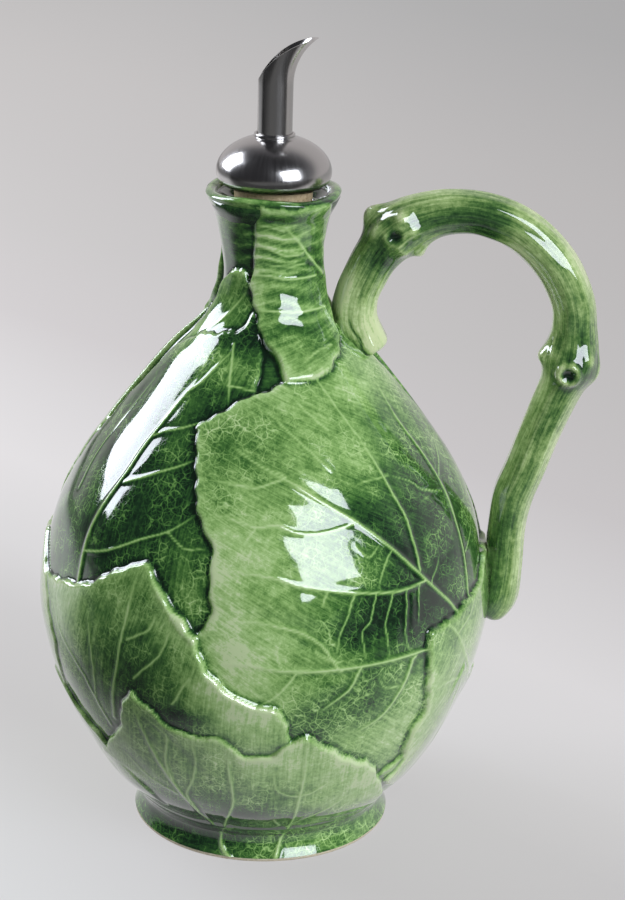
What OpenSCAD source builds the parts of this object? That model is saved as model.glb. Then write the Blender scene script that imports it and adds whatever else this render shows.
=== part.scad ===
// Oil jar: a round bottle dressed in overlapping vine leaves, with a twig for a handle
// and a cork stopper that carries a domed steel pourer.
// The jar stands on z = 0 with its axis on the origin, and the handle is on the +X side.

/* [Jar] */
// Height of the lip above the table
jar_h = 189; // [180:1:205]
// Widest diameter of the body, leaves included
body_d = 130; // [120:1:145]
// Outer diameter of the neck at its waist
neck_d = 29.5; // [28.5:0.1:32]
// Outer diameter of the lip
lip_d = 38; // [37:0.5:42]
// Rise and fall of the hand-made lip
lip_wave = 0.5; // [0:0.1:1]
// Outer diameter of the foot ring
foot_d = 76; // [70:1:84]
// Height of the foot ring
foot_h = 8; // [6:0.5:10]
// Width of the unglazed ring that the jar stands on
foot_ring_w = 6; // [4:0.5:9]
// Depth of the hollow under the foot
foot_hollow = 3; // [1:0.5:4]
// Thickness of the clay under the leaves
wall = 4; // [3.5:0.1:6]

/* [Leaves] */
// How deep the bed of the leaves lies below the outline of the jar
leaf_bed = 2; // [1.8:0.1:2.4]
// Height of a main vein over its leaf
vein_h = 0.8; // [0.4:0.1:1.2]
// Width of a main vein where it starts
vein_w = 2.8; // [2:0.1:3.5]
// Depth of the teeth along the rim of a leaf
tooth = 0.9; // [0.3:0.1:1.2]

/* [Handle] */
// Thickness of the twig
twig_d = 12.4; // [10.5:0.1:14]
// How far the axis of the twig stands out from the jar at its lower knot
twig_out = 54; // [48:1:62]
// How far the top of the twig stands above the lip
twig_over = 2; // [1.5:0.5:8]
// Width of the twig at its knots
knot_d = 16; // [14:0.2:18]
// Diameter of the scar where a side shoot was cut from a knot
scar_d = 6.4; // [5:0.2:8]

/* [Stopper] */
// Diameter of the cork at its top
cork_d = 22; // [20:0.1:22.4]
// Length of the cork
cork_l = 30; // [22:1:34]
// Difference between the diameters of the cork's two ends
cork_taper = 2.4; // [1:0.1:3]
// Clearance between the cork and the neck
cork_gap = 0.2; // [0.1:0.05:0.4]
// How far the top of the cork stands above the lip
cork_up = 2; // [1.5:0.1:5]
// Diameter of the dome
dome_d = 32; // [28:0.5:34]
// Height of the dome over the cork, without its collar
dome_h = 13; // [10:0.5:18]
// Radius of the round edge under the dome
dome_edge = 2.8; // [1.5:0.1:4]
// Thickness of the sheet that the dome is pressed from
dome_t = 0.8; // [0.5:0.1:1.2]
// Outer diameter of the pouring tube
tube_d = 9.7; // [8:0.1:11]
// Wall of the pouring tube
tube_t = 0.5; // [0.4:0.1:0.8]
// Height above the lip at which the tube starts to bend
bend_up = 29; // [24:1:40]
// Radius of the inner side of the bend
bend_r = 16; // [12:0.5:24]
// Radius of the curved cut that opens the mouth of the tube
cut_r = 22; // [20:0.5:26]
// Clearance of the tube in the cork and in the dome
tube_gap = 0.05; // [0.02:0.01:0.1]

/* [Hidden] */
$fn = 48;
slack = 0.01;

// The leaf plan is drawn on a jar of this height, as [azimuth, height, lift].
plan_h = 189;
// Length of a step along a leaf's rim and from its base outward, and along a vein
rim_step = 12;
spoke_step = 14;
vein_step = 10;
// How deep the underside of a leaf is sunk, and how its blade rises toward the rim
leaf_sink = leaf_bed + 1.1;
blade_curl = 1.6;
vein_thin = 0.6;
body_sides = 48;

cork_top = jar_h + cork_up;
bend_z = jar_h + bend_up;
tube_r = tube_d / 2;
neck_low = cork_top - cork_l - 1;
// Depth below the lip at which the flare of the mouth ends on the cork
seat_drop = 6;
// Turn of the tube's bend, and the slope at which the cut of its mouth starts
bend_turn = 66;
cut_lean = 26.5;

// Outline of the jar as [height, radius], from the foot to the lip
waist_in = 2.2;
outline = [
    [0, foot_d / 2],
    [0.75 * foot_h, foot_d / 2 - waist_in],
    [foot_h + 1, foot_d / 2 - 1],
    [0.10 * jar_h, 0.712 * body_d / 2],
    [0.16 * jar_h, 0.818 * body_d / 2],
    [0.23 * jar_h, 0.907 * body_d / 2],
    [0.30 * jar_h, 0.972 * body_d / 2],
    [0.375 * jar_h, body_d / 2],
    [0.45 * jar_h, 0.972 * body_d / 2],
    [0.52 * jar_h, 0.916 * body_d / 2],
    [0.59 * jar_h, 0.812 * body_d / 2],
    [0.65 * jar_h, 0.692 * body_d / 2],
    [0.71 * jar_h, 0.558 * body_d / 2],
    [0.76 * jar_h, 0.440 * body_d / 2],
    [0.80 * jar_h, neck_d / 2 + 6.4],
    [0.84 * jar_h, neck_d / 2 + 1.9],
    [0.88 * jar_h, neck_d / 2 + 0.3],
    [0.925 * jar_h, neck_d / 2],
    [0.965 * jar_h, neck_d / 2 + 1.4],
    [0.99 * jar_h, lip_d / 2 - 0.7],
    [jar_h, lip_d / 2],
];
last = len(outline) - 1;

// A smooth curve through the outline: the radius at a height
function slope(i) =
    let (a = max(i - 1, 0), b = min(i + 1, last))
    (outline[b][1] - outline[a][1]) / (outline[b][0] - outline[a][0]);
function span_of(z) = max([for (i = [0 : last - 1]) if (i == 0 || outline[i][0] <= z) i]);
function radius_at(z) =
    let (
        i = span_of(z),
        h = outline[i + 1][0] - outline[i][0],
        t = min(max((z - outline[i][0]) / h, 0), 1),
        r0 = outline[i][1],
        r1 = outline[i + 1][1]
    )
    r0 * (1 + 2 * t) * pow(1 - t, 2) + r1 * (3 - 2 * t) * t * t
    + h * slope(i) * t * pow(1 - t, 2) - h * slope(i + 1) * t * t * (1 - t);
function lean_at(z) = (radius_at(z + 0.5) - radius_at(z - 0.5));

// A point beside the outline, as [radius, height], and a point over the jar's surface
function beside(z, lift) =
    let (lean = lean_at(z), n = sqrt(1 + lean * lean))
    [radius_at(z) + lift / n, z - lift * lean / n];
function on_jar(az, z, lift) =
    let (p = beside(z * jar_h / plan_h, lift))
    [p[0] * cos(az), p[0] * sin(az), p[1]];
function mix(a, b, t) = a + (b - a) * t;
function ease(t) = let (c = min(max(t, 0), 1)) c * c * (3 - 2 * c);

// Leaves of the plan. Each is its base as [azimuth, height, lift], then its rim as the same, then
// its side veins as [azimuth, height]. A fourth number on a rim point ends a main vein there, and
// says how far that vein bows to its right on its way from the base.
front_leaf = [
    [-31, 79, -0.4],
    [
        [-115, 130.5, 0.8], [-104, 136, 0.8], [-90, 140, 0.6, 0], [-76, 143, 0.1], [-62, 149, -0.8],
        [-40, 152, -0.8], [-15, 154, -0.6], [-3, 146, -0.2], [6, 128, 0], [5, 108, 0],
        [-2, 92, -0.4], [-12, 78, -0.8], [-22, 60, -0.8], [-33, 42, -0.8], [-42, 24, -0.8],
        [-56, 28, -0.8], [-70, 38, -0.8, 3], [-88, 42, -0.8], [-97, 52, -0.8], [-103, 66, -0.7, 1],
        [-102.5, 79, 0], [-99, 86, 0.4], [-99, 96, 0.6], [-100, 103, 0.6, 1.5],
        [-102.5, 108, 0.7], [-107.5, 115, 0.7], [-110, 122.5, 0.7]
    ],
    [
        [[-25, 81], [-20.5, 98], [-21, 118], [-23, 141]],
        [[-40, 92], [-42.5, 107], [-46, 124], [-50, 132]],
        [[-60, 73], [-66, 68], [-75, 61]]
    ]
];
shoulder_leaf = [
    [-141, 86, -1.1],
    [
        [-165, 145, -0.3], [-150, 150, -0.2], [-130, 152, -0.2, 0], [-112, 153.5, -0.2],
        [-100, 158, -0.2], [-91, 150, -1], [-92, 130, -1, 0], [-88, 110, -1], [-92, 90, -1.1],
        [-97, 76, -1.2], [-115, 72, -1.2], [-140, 70, -1.2], [-160, 70, -1.2], [-173, 85, -0.4],
        [-176, 105, -0.3], [-172, 128, -0.3]
    ],
    [
        [[-138, 113], [-126, 119], [-113, 124]],
        [[-111, 150], [-105, 145], [-99, 138]]
    ]
];
left_leaf = [
    [-131, 43, -0.6],
    [
        [-160, 80, 0.2], [-149, 83, 0.4, 0], [-141, 84.5, 0.4], [-131, 90, 0.6],
        [-119, 97.5, 0.8, 0], [-114, 94, 1.1], [-105, 84, 1.5, 0], [-101, 79.5, 1.7],
        [-97.5, 70, 1.4, 0], [-90, 64, 1.3], [-80, 59, 1.1], [-78, 50, 0.7], [-84, 41, -0.8],
        [-100, 32, -0.8], [-125, 26, -0.8], [-145, 32, -0.8], [-165, 46, -0.4], [-173, 60, 0],
        [-170, 72, 0.1, 0]
    ],
    []
];
bottom_leaf = [
    [-92, 20, -0.4],
    [
        [-146, 28, 0.2], [-140, 33, 1], [-127.5, 44.5, 1.1], [-120, 60, 1.4], [-116.5, 59.5, 1.3],
        [-110, 53, 1.1], [-104, 51, 1.1], [-95, 50, 1.1], [-90, 45.5, 1.1], [-82.5, 45.5, 1.1],
        [-74, 52, 1.3], [-65, 44.5, 1.3], [-55, 39, 1.3], [-47, 31, 1.3], [-40, 22, 1.1],
        [-37, 15, 0.4], [-45, 9.5, -0.6], [-70, 9, -0.6], [-92, 9, -0.6], [-120, 9, -0.6],
        [-140, 11, -0.6], [-148, 18, -0.2]
    ],
    [
        [[-97, 2], [-102, 6], [-103, 12], [-107.5, 19], [-113, 34], [-118, 55]],
        [[-102, 11], [-96, 22], [-94, 34], [-94, 47]],
        [[-79, 2], [-74, 12], [-74, 23], [-72, 38], [-73.5, 50]]
    ]
];
right_leaf = [
    [-6, 54, -0.2],
    [
        [-41, 76.5, 1.3], [-30, 79, 1.3, 0], [-17.5, 81.5, 1.1], [-8, 86, 1, 0], [4, 88, 0.8],
        [14, 84, 0.7, 0], [24, 76, 0.6], [29, 64, 0.4], [27, 48, 0.2], [19, 34, 0],
        [5, 26, -0.4], [-15, 22, -0.5], [-31, 20, -0.4], [-42, 27, 1], [-40, 33, 1.1],
        [-41, 44, 1.3], [-38.5, 54, 1.3, 0], [-41, 64, 1.3]
    ],
    []
];
neck_leaf = [
    [-58, 172, -0.4],
    [
        [-98, 186, 0.1, 0], [-60, 187, 0], [-24, 186.5, 0], [-14, 180, 0], [-9, 168, 0.2],
        [-14, 157, 0.6], [-27, 150, 0.8, 0], [-40, 146, 0.8], [-55, 143, 0.8], [-66, 143, 0.8],
        [-77, 142, 0.8, 0], [-79, 146, 0.8], [-85, 150, 0.8], [-94, 153, 0.8], [-99, 157.5, 0.8],
        [-104, 162, 0.7], [-107.5, 166.5, 0.7, 0], [-103, 179, 0.4]
    ],
    []
];
collar_leaf = [
    [-130, 158, -1],
    [
        [-168, 150, -0.6], [-162, 160, -0.3], [-150, 165, -0.3], [-135, 168, -0.3],
        [-120, 169.5, -0.2], [-111, 166, -0.2], [-98, 164, -0.8], [-90, 156, -1],
        [-100, 148, -1.2], [-130, 146, -1.2], [-158, 142, -1.2]
    ],
    []
];
leaves = [
    collar_leaf, shoulder_leaf, front_leaf, left_leaf, bottom_leaf, right_leaf, neck_leaf
];
// The hidden back repeats the leaves of the front, turned half round.
turns = [0, 180];
// Two more bottom leaves fill the sides between the two that face front and back.
side_turn = 95;
side_drop = [0, 0, 0.5];

// The columns of a leaf's mesh, each as [azimuth, height, lift, side, bow], run from its base to
// its rim. A main vein is three of them: its crest, of side 0, between its two feet.
function plan_mm(z) = PI / 180 * radius_at(z * jar_h / plan_h);
function plain_columns(a, b) =
    let (
        mm = plan_mm((a[1] + b[1]) / 2),
        dx = (b[0] - a[0]) * mm,
        dz = b[1] - a[1],
        length = norm([dx, dz]),
        steps = max(1, round(length / rim_step))
    )
    [
        for (k = [0 : steps - 1])
        if (k > 0 || a[3] == undef)
        let (out = k == 0 ? 0 : tooth * (k % 2 == 1 ? 1 : -0.4), t = k / steps)
        [
            mix(a[0], b[0], t) - dz / length * out / mm,
            mix(a[1], b[1], t) + dx / length * out,
            mix(a[2], b[2], t)
        ]
    ];
function vein_columns(a) =
    a[3] == undef ? [] : [for (side = [-1, 0, 1]) [a[0], a[1], a[2], side, a[3]]];
function columns(rim) = [
    for (i = [0 : len(rim) - 1])
    for (c = concat(vein_columns(rim[i]), plain_columns(rim[i], rim[(i + 1) % len(rim)]))) c
];
function column_point(base, c, t) =
    let (
        az = mix(base[0], c[0], t),
        z = mix(base[1], c[1], t),
        lift = mix(base[2], c[2], pow(t, blade_curl)),
        mm = plan_mm(z),
        dx = (c[0] - base[0]) * mm,
        dz = c[1] - base[1],
        thin = 1 - vein_thin * t,
        plain = c[3] == undef,
        out = plain ? 0 : (c[3] * vein_w / 2 * thin + c[4] * 4 * t * (1 - t)) / norm([dx, dz])
    )
    [az + dz * out / mm, z - dx * out, lift + (c[3] == 0 ? vein_h * thin : 0)];
function reach(base, rim) = max([
    for (p = rim) norm([(p[0] - base[0]) * plan_mm(base[1]), p[1] - base[1]])
]);

// The lift of a leaf's blade at a point of the plan, seen along the spoke from its base
function cross2(a, b) = a[0] * b[1] - a[1] * b[0];
function blade_lift(base, rim, az, z) =
    let (
        d = [az - base[0], z - base[1]],
        hits = [
            for (i = [0 : len(rim) - 1])
            let (
                a = [rim[i][0] - base[0], rim[i][1] - base[1]],
                b = [rim[(i + 1) % len(rim)][0] - base[0], rim[(i + 1) % len(rim)][1] - base[1]],
                whole = cross2(a, b),
                along = whole == 0 ? -1 : cross2(a, d) / (cross2(a, d) + cross2(d, b)),
                share = whole == 0 ? -1 : (cross2(a, d) + cross2(d, b)) / whole
            )
            if (along >= 0 && along <= 1 && share > 0)
            mix(base[2], mix(rim[i][2], rim[(i + 1) % len(rim)][2], along),
                pow(min(share, 1), blade_curl))
        ]
    )
    norm(d) < slack || len(hits) == 0 ? base[2] : hits[0];

// One leaf: a curved blade on spokes from its base, closed by an underside sunk in the clay
module blade(base, rim) {
    edge = columns(rim);
    n = len(edge);
    rings = ceil(reach(base, edge) / spoke_step);
    top = [
        for (j = [1 : rings])
        for (c = edge)
        let (q = column_point(base, c, j / rings))
        on_jar(q[0], q[1], q[2])
    ];
    under = [
        for (j = [1 : rings])
        for (c = edge)
        let (q = column_point(base, c, j / rings))
        on_jar(q[0], q[1], -leaf_sink)
    ];
    centre = [on_jar(base[0], base[1], base[2]), on_jar(base[0], base[1], -leaf_sink)];
    u = n * rings;
    c = 2 * u;
    faces = concat(
        [for (i = [0 : n - 1]) [c, i, (i + 1) % n]],
        [for (i = [0 : n - 1]) [c + 1, u + (i + 1) % n, u + i]],
        [
            for (j = [0 : rings - 2])
            for (i = [0 : n - 1])
            let (a = j * n + i, b = j * n + (i + 1) % n)
            for (f = [[a, b + n, b], [a, a + n, b + n]]) f
        ],
        [
            for (j = [0 : rings - 2])
            for (i = [0 : n - 1])
            let (a = u + j * n + i, b = u + j * n + (i + 1) % n)
            for (f = [[a, b, b + n], [a, b + n, a + n]]) f
        ],
        [
            for (i = [0 : n - 1])
            let (a = u - n + i, b = u - n + (i + 1) % n)
            for (f = [[a, b + u, b], [a, a + u, b + u]]) f
        ]
    );
    polyhedron(concat(top, under, centre), faces);
}

// The points of a vein, cut into short steps
function vein_path(points) = concat(
    [
        for (i = [0 : len(points) - 2])
        let (
            a = points[i],
            b = points[i + 1],
            dx = (b[0] - a[0]) * plan_mm(a[1]),
            steps = max(1, ceil(norm([dx, b[1] - a[1]]) / vein_step))
        )
        for (k = [0 : steps - 1]) mix(a, b, k / steps)
    ],
    [points[len(points) - 1]]
);

// One vein: a low ridge that thins toward its end
module vein(base, rim, points) {
    path = vein_path(points);
    m = len(path);
    ridge = [
        for (i = [0 : m - 1])
        let (
            p = path[i],
            a = path[max(i - 1, 0)],
            b = path[min(i + 1, m - 1)],
            mm = plan_mm(p[1]),
            dx = (b[0] - a[0]) * mm,
            dz = b[1] - a[1],
            length = norm([dx, dz]),
            thin = 1 - vein_thin * i / (m - 1),
            half = vein_w / 2 * thin,
            side = [dz / length * half / mm, -dx / length * half],
            lift = p[1] < foot_h + 2 ? -0.2 : blade_lift(base, rim, p[0], p[1]),
            crest = i == m - 1 ? -0.2 : vein_h * thin
        )
        for (s = [[-1, -0.35], [0, crest], [1, -0.35]])
        on_jar(p[0] + side[0] * s[0], p[1] + side[1] * s[0], lift + s[1])
    ];
    faces = concat(
        [[0, 1, 2], [3 * m - 1, 3 * m - 2, 3 * m - 3]],
        [
            for (i = [0 : m - 2])
            for (k = [0 : 2])
            let (a = 3 * i + k, b = 3 * i + (k + 1) % 3)
            for (f = [[a, a + 3, b + 3], [a, b + 3, b]]) f
        ]
    );
    polyhedron(ridge, faces);
}

module leaf(shape) {
    blade(shape[0], shape[1]);
    for (points = shape[2]) {
        vein(shape[0], shape[1], points);
    }
}

// The thrown bottle under the leaves, closed at the top: the hollow is cut from it afterwards
module bottle() {
    step = 6;
    bed_low = foot_h + 2;
    bed_high = 0.955 * jar_h;
    heights = concat(
        [0, 0.4 * foot_h, 0.75 * foot_h],
        [for (z = [foot_h + 1 : step : 0.96 * jar_h]) z],
        [0.975 * jar_h, 0.99 * jar_h]
    );
    sides = [
        for (z = heights)
        for (k = [0 : body_sides - 1])
        let (
            az = k * 360 / body_sides,
            bed = -leaf_bed * ease((z - bed_low) / step) * ease((bed_high - z) / step),
            p = beside(z, bed),
            wave = lip_wave * sin(3 * az + 40) * ease((z / jar_h - 0.94) / 0.05)
        )
        [p[0] * cos(az), p[0] * sin(az), p[1] + wave]
    ];
    // The rolled lip, as [inward, upward] from its outer edge
    roll = [[0.1, -0.5], [0.9, 0.2], [2.1, 0.1]];
    lip = [
        for (q = roll)
        for (k = [0 : body_sides - 1])
        let (az = k * 360 / body_sides, r = lip_d / 2 - q[0])
        [r * cos(az), r * sin(az), jar_h + q[1] + lip_wave * (sin(3 * az + 40) - 0.5)]
    ];
    n = body_sides;
    rows = len(heights) + len(roll);
    faces = concat(
        [[for (k = [0 : n - 1]) k]],
        [for (k = [0 : n - 1]) [n * (rows - 1) + k, n * rows, n * (rows - 1) + (k + 1) % n]],
        [
            for (j = [0 : rows - 2])
            for (k = [0 : n - 1])
            let (a = j * n + k, b = j * n + (k + 1) % n)
            for (f = [[a, b + n, b], [a, a + n, b + n]]) f
        ]
    );
    polyhedron(concat(sides, lip, [[0, 0, jar_h - 0.5]]), faces);
}

// Axis of the twig, as [height share, distance from the jar's side as a share of twig_out, width share]
twig_plan = [
    [0.770, -0.01, 0.95],
    [0.804, 0.06, 1.06],
    [0.844, 0.14, 0.98],
    [0.873, 0.20, 0.98],
    [0.908, 0.27, 1.03],
    [0.946, 0.365, 1.26],
    [0.972, 0.52, 1.06],
    [0.9775, 0.69, 0.98],
    [0.970, 0.84, 1],
    [0.955, 0.98, 1],
    [0.929, 1.11, 1],
    [0.894, 1.21, 1],
    [0.848, 1.257, 0.98],
    [0.812, 1.21, 1.02],
    [0.780, 1.11, 1.18],
    [0.751, 1.00, 1.3],
    [0.722, 0.885, 1.04],
    [0.679, 0.71, 0.97],
    [0.640, 0.56, 0.93],
    [0.586, 0.37, 0.93],
    [0.543, 0.235, 0.94],
    [0.492, 0.14, 0.87],
    [0.423, 0.08, 0.86],
    [0.376, 0.03, 0.95],
    [0.342, 0.0, 0.75],
];
crown_share = 0.9775;
// Stations of the two knots on that axis, and how far their buds tilt up from level
upper_knot = 5;
lower_knot = 15;
upper_tilt = 130;
lower_tilt = -15;
twig_last = len(twig_plan) - 1;
twig_sides = 12;
// The crown of the twig stands over the lip by twig_over, and the rest follows it.
twig_lift = jar_h + twig_over - twig_d / 2 - crown_share * jar_h;
function twig_z(i) =
    let (share = twig_plan[i][0])
    share * jar_h + twig_lift * ease((share - 0.8) / (crown_share - 0.8));
function twig_x(i) = radius_at(twig_plan[i][0] * jar_h) + twig_plan[i][1] * twig_out;
function twig_at(i) = [twig_x(i), twig_z(i)];
function spline(a, b, c, d, t) =
    0.5 * (2 * b + (c - a) * t + (2 * a - 5 * b + 4 * c - d) * t * t
    + (3 * b - a - 3 * c + d) * t * t * t);
function twig_point(u) =
    let (i = min(floor(u), twig_last - 1), t = u - i)
    spline(twig_at(max(i - 1, 0)), twig_at(i), twig_at(i + 1), twig_at(min(i + 2, twig_last)), t);
function twig_wide(u) =
    let (i = min(floor(u), twig_last - 1))
    twig_d / 2 * mix(twig_plan[i][2], twig_plan[i + 1][2], ease(u - i));

// The twig: rings across its axis, each slightly fluted like bark
module twig() {
    steps = 1.5 * twig_last;
    n = twig_sides;
    flute = 0.05;
    rings = [
        for (j = [0 : steps])
        let (
            u = j / 1.5,
            p = twig_point(u),
            d = twig_point(min(u + 0.1, twig_last)) - twig_point(max(u - 0.1, 0)),
            s = [-d[1], d[0]] / norm(d),
            r = twig_wide(u)
        )
        for (k = [0 : n - 1])
        let (a = k * 360 / n, q = r * (1 + flute * cos(2.5 * a + 8 * u)))
        [p[0] + s[0] * q * cos(a), q * sin(a), p[1] + s[1] * q * cos(a)]
    ];
    faces = concat(
        [[for (k = [n - 1 : -1 : 0]) k], [for (k = [0 : n - 1]) n * steps + k]],
        [
            for (j = [0 : steps - 1])
            for (k = [0 : n - 1])
            let (a = j * n + k, b = j * n + (k + 1) % n)
            for (f = [[a, b, b + n], [a, b + n, a + n]]) f
        ]
    );
    polyhedron(rings, faces);
}

// A knot of the twig: a swelling, two blunt buds across its axis and the scar of a cut shoot in front
module bud(reach, width) {
    rotate([0, 90, 0]) {
        translate([0, 0, reach - 0.5 * width]) {
            scale([1, 1, 0.8]) {
                sphere(d = width, $fn = 12);
            }
        }
    }
}
module scar() {
    deep = 1.4;
    rise = 1.6;
    rotate_extrude($fn = 14) {
        polygon([
            [0, 0],
            [0.95 * scar_d, 0],
            [0.62 * scar_d, twig_d / 2 + rise - 1],
            [0.5 * scar_d, twig_d / 2 + rise - 0.1],
            [0.36 * scar_d, twig_d / 2 + rise],
            [0.2 * scar_d, twig_d / 2 + rise - deep],
            [0, twig_d / 2 + rise - deep]
        ]);
    }
}
module knot(i, turn) {
    p = twig_at(i);
    translate([p[0], 0, p[1]]) {
        rotate([0, -turn, 0]) {
            bud(knot_d / 2 + 1.6, 0.5 * knot_d);
            rotate([0, 180, 0]) {
                bud(knot_d / 2 + 1, 0.55 * knot_d);
            }
        }
        rotate([90, 0, 0]) {
            scar();
        }
    }
}

// Bottle, leaves and twig as the one skin of the fired piece, brought to its exact height
module skin() {
    resize([0, 0, jar_h + twig_over]) {
        union() {
            bottle();
            for (turn = turns) {
                rotate([0, 0, turn]) {
                    for (shape = leaves) {
                        leaf(shape);
                    }
                }
                rotate([0, 0, turn + side_turn]) {
                    blade(bottom_leaf[0] - side_drop, [for (p = bottom_leaf[1]) p - side_drop]);
                }
            }
            twig();
            knot(upper_knot, upper_tilt);
            knot(lower_knot, lower_tilt);
        }
    }
}

// Radius of the cork and of the neck's bore at a height
function cork_at(z) = cork_d / 2 - cork_taper / 2 * (cork_top - z) / cork_l;

// The hollow of the jar: the belly, the bore that the cork sits in, and the flared mouth
module hollow() {
    depth = wall + leaf_bed;
    floor_z = foot_hollow + wall + 2;
    seat_top = jar_h - seat_drop;
    belly = [
        for (z = [floor_z + 6 : 6 : neck_low]) beside(z, -depth)
    ];
    mouth_r = lip_d / 2 - 3.4;
    rotate_extrude() {
        polygon(concat(
            [[0, floor_z], [foot_d / 2 - wall - 5, floor_z]],
            [for (p = belly) if (p[1] > floor_z + 2 && p[1] < neck_low - 2) p],
            [
                [cork_at(neck_low) + cork_gap, neck_low],
                [cork_at(seat_top) + cork_gap, seat_top],
                [mix(cork_at(seat_top), mouth_r, 0.55), seat_top + 3],
                [mouth_r, jar_h],
                [mouth_r + 0.5, jar_h + 3],
                [0, jar_h + 3]
            ]
        ));
    }
}

module jar() {
    color("darkseagreen") {
        difference() {
            skin();
            hollow();
            translate([0, 0, -1]) {
                cylinder(h = foot_hollow + 1, d = foot_d - 2 * foot_ring_w);
            }
        }
    }
}

module cork() {
    color("burlywood") {
        difference() {
            translate([0, 0, cork_top - cork_l]) {
                cylinder(h = cork_l, d1 = cork_d - cork_taper, d2 = cork_d);
            }
            translate([0, 0, cork_top - cork_l - 1]) {
                cylinder(h = cork_l + 2, d = tube_d + 2 * tube_gap);
            }
        }
    }
}

// The dome is pressed from sheet: flat below, round at its edge, and turned up in a small collar
// around the tube.
collar_r = 1.15 * tube_r;
function dome_side(inset) =
    let (r = dome_d / 2, low = cork_top + dome_edge, high = dome_h - dome_edge, turns = 8)
    concat(
        [
            for (k = [0 : turns])
            let (t = 90 * k / turns)
            [
                r - dome_edge + (dome_edge - inset) * sin(t),
                low - (dome_edge - inset) * cos(t)
            ]
        ],
        [
            for (k = [1 : 2 * turns])
            let (t = acos(collar_r / r) * k / (2 * turns))
            [(r - inset) * cos(t), low + (high - inset) * sin(t)]
        ]
    );
module dome_cap() {
    side = dome_side(0);
    inner = dome_side(dome_t);
    top = side[len(side) - 1];
    hole = tube_r + tube_gap;
    collar_h = 1.2;
    color("silver") {
        rotate_extrude() {
            polygon(concat(
                [[hole, cork_top]],
                side,
                [
                    [hole + 0.9, top[1] + 0.3],
                    [hole + 0.7, top[1] + collar_h],
                    [hole, top[1] + collar_h]
                ],
                [for (k = [len(inner) - 1 : -1 : 0]) inner[k]],
                [[hole, cork_top + dome_t]]
            ));
        }
    }
}

// The pouring tube: straight, then bent over, with its mouth cut open along an arc. The bend swells
// by a hair, and the straight part ends inside it.
bend_swell = 0.02;
bend_lap = 0.3;
module bend(r) {
    axis_r = bend_r + tube_r;
    translate([axis_r, 0, bend_z]) {
        rotate([90, 0, 0]) {
            rotate([0, 0, 180 - bend_turn]) {
                rotate_extrude(angle = bend_turn) {
                    translate([axis_r, 0]) {
                        circle(r = r);
                    }
                }
            }
        }
    }
}
module pour_tube() {
    $fn = 96;
    low = cork_top - cork_l;
    bore_r = tube_r - tube_t;
    // The arc of the cut starts on the outer side of the tube, just over the start of the bend.
    cut_x = cut_r * cos(cut_lean) - tube_r;
    cut_z = bend_z + 1 - cut_r * sin(cut_lean);
    color("silver") {
        difference() {
            union() {
                translate([0, 0, low]) {
                    cylinder(h = bend_z + bend_lap - low, r = tube_r);
                }
                intersection() {
                    bend(tube_r + bend_swell);
                    translate([cut_x, 0, cut_z]) {
                        rotate([90, 0, 0]) {
                            cylinder(h = 4 * tube_d, r = cut_r, center = true);
                        }
                    }
                }
            }
            translate([0, 0, low - 1]) {
                cylinder(h = bend_z + bend_lap - low + 1, r = bore_r);
            }
            bend(bore_r - bend_swell);
        }
    }
}

jar();
cork();
dome_cap();
pour_tube();
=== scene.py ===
import math

import bpy
import numpy as np
from mathutils import Matrix, Vector


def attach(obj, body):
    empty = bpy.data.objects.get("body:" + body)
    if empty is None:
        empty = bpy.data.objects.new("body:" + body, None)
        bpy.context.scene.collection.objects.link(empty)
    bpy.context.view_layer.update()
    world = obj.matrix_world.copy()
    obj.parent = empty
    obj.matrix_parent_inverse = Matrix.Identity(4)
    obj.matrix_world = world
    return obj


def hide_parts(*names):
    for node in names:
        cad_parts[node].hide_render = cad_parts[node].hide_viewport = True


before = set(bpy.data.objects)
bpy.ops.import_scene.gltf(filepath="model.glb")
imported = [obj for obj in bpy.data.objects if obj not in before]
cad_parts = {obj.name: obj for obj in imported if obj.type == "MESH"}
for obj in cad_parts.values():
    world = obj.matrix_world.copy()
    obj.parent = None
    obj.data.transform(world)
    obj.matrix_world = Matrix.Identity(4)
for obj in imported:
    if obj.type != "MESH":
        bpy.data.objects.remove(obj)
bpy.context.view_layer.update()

mm = 0.001  # sizes below are millimetres, as on the drawing of the jar


# Helpers that several pieces use
def toLinear(hexColour):
    parts = [int(hexColour[i:i + 2], 16) / 255 for i in (1, 3, 5)]
    return tuple(c / 12.92 if c <= 0.04045 else ((c + 0.055) / 1.055) ** 2.4 for c in parts) + (1.0,)


def setInputs(tree, node, inputs):
    # Inputs by name, or as a list in the sockets' order: a node or a socket is linked, a value is set
    for socket, value in inputs.items() if isinstance(inputs, dict) else enumerate(inputs):
        if isinstance(value, bpy.types.Node):
            value = value.outputs[0]
        if isinstance(value, bpy.types.NodeSocket):
            tree.links.new(value, node.inputs[socket])
        else:
            node.inputs[socket].default_value = value


def addNode(tree, kind, inputs=None, **settings):
    node = tree.nodes.new("ShaderNode" + kind)
    for name, value in settings.items():
        setattr(node, name, value)
    setInputs(tree, node, inputs or {})
    return node


def newMaterial(name):
    material = bpy.data.materials.new(name)
    material.use_nodes = True
    tree = material.node_tree
    tree.nodes.clear()
    shader = addNode(tree, "BsdfPrincipled")
    addNode(tree, "OutputMaterial", [shader], name="out")
    return material, tree, shader, addNode(tree, "TexCoord").outputs["Object"]


def setRamp(node, stops):
    elements = node.color_ramp.elements
    while len(elements) > 1:
        elements.remove(elements[-1])
    elements[0].position, elements[0].color = stops[0][0], toLinear(stops[0][1])
    for place, colour in stops[1:]:
        elements.new(place).color = toLinear(colour)
    return node


def addPrimitive(add, **settings):
    # The new piece is the only one that is selected
    bpy.ops.object.select_all(action="DESELECT")
    add(**settings)
    return bpy.context.object


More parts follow.
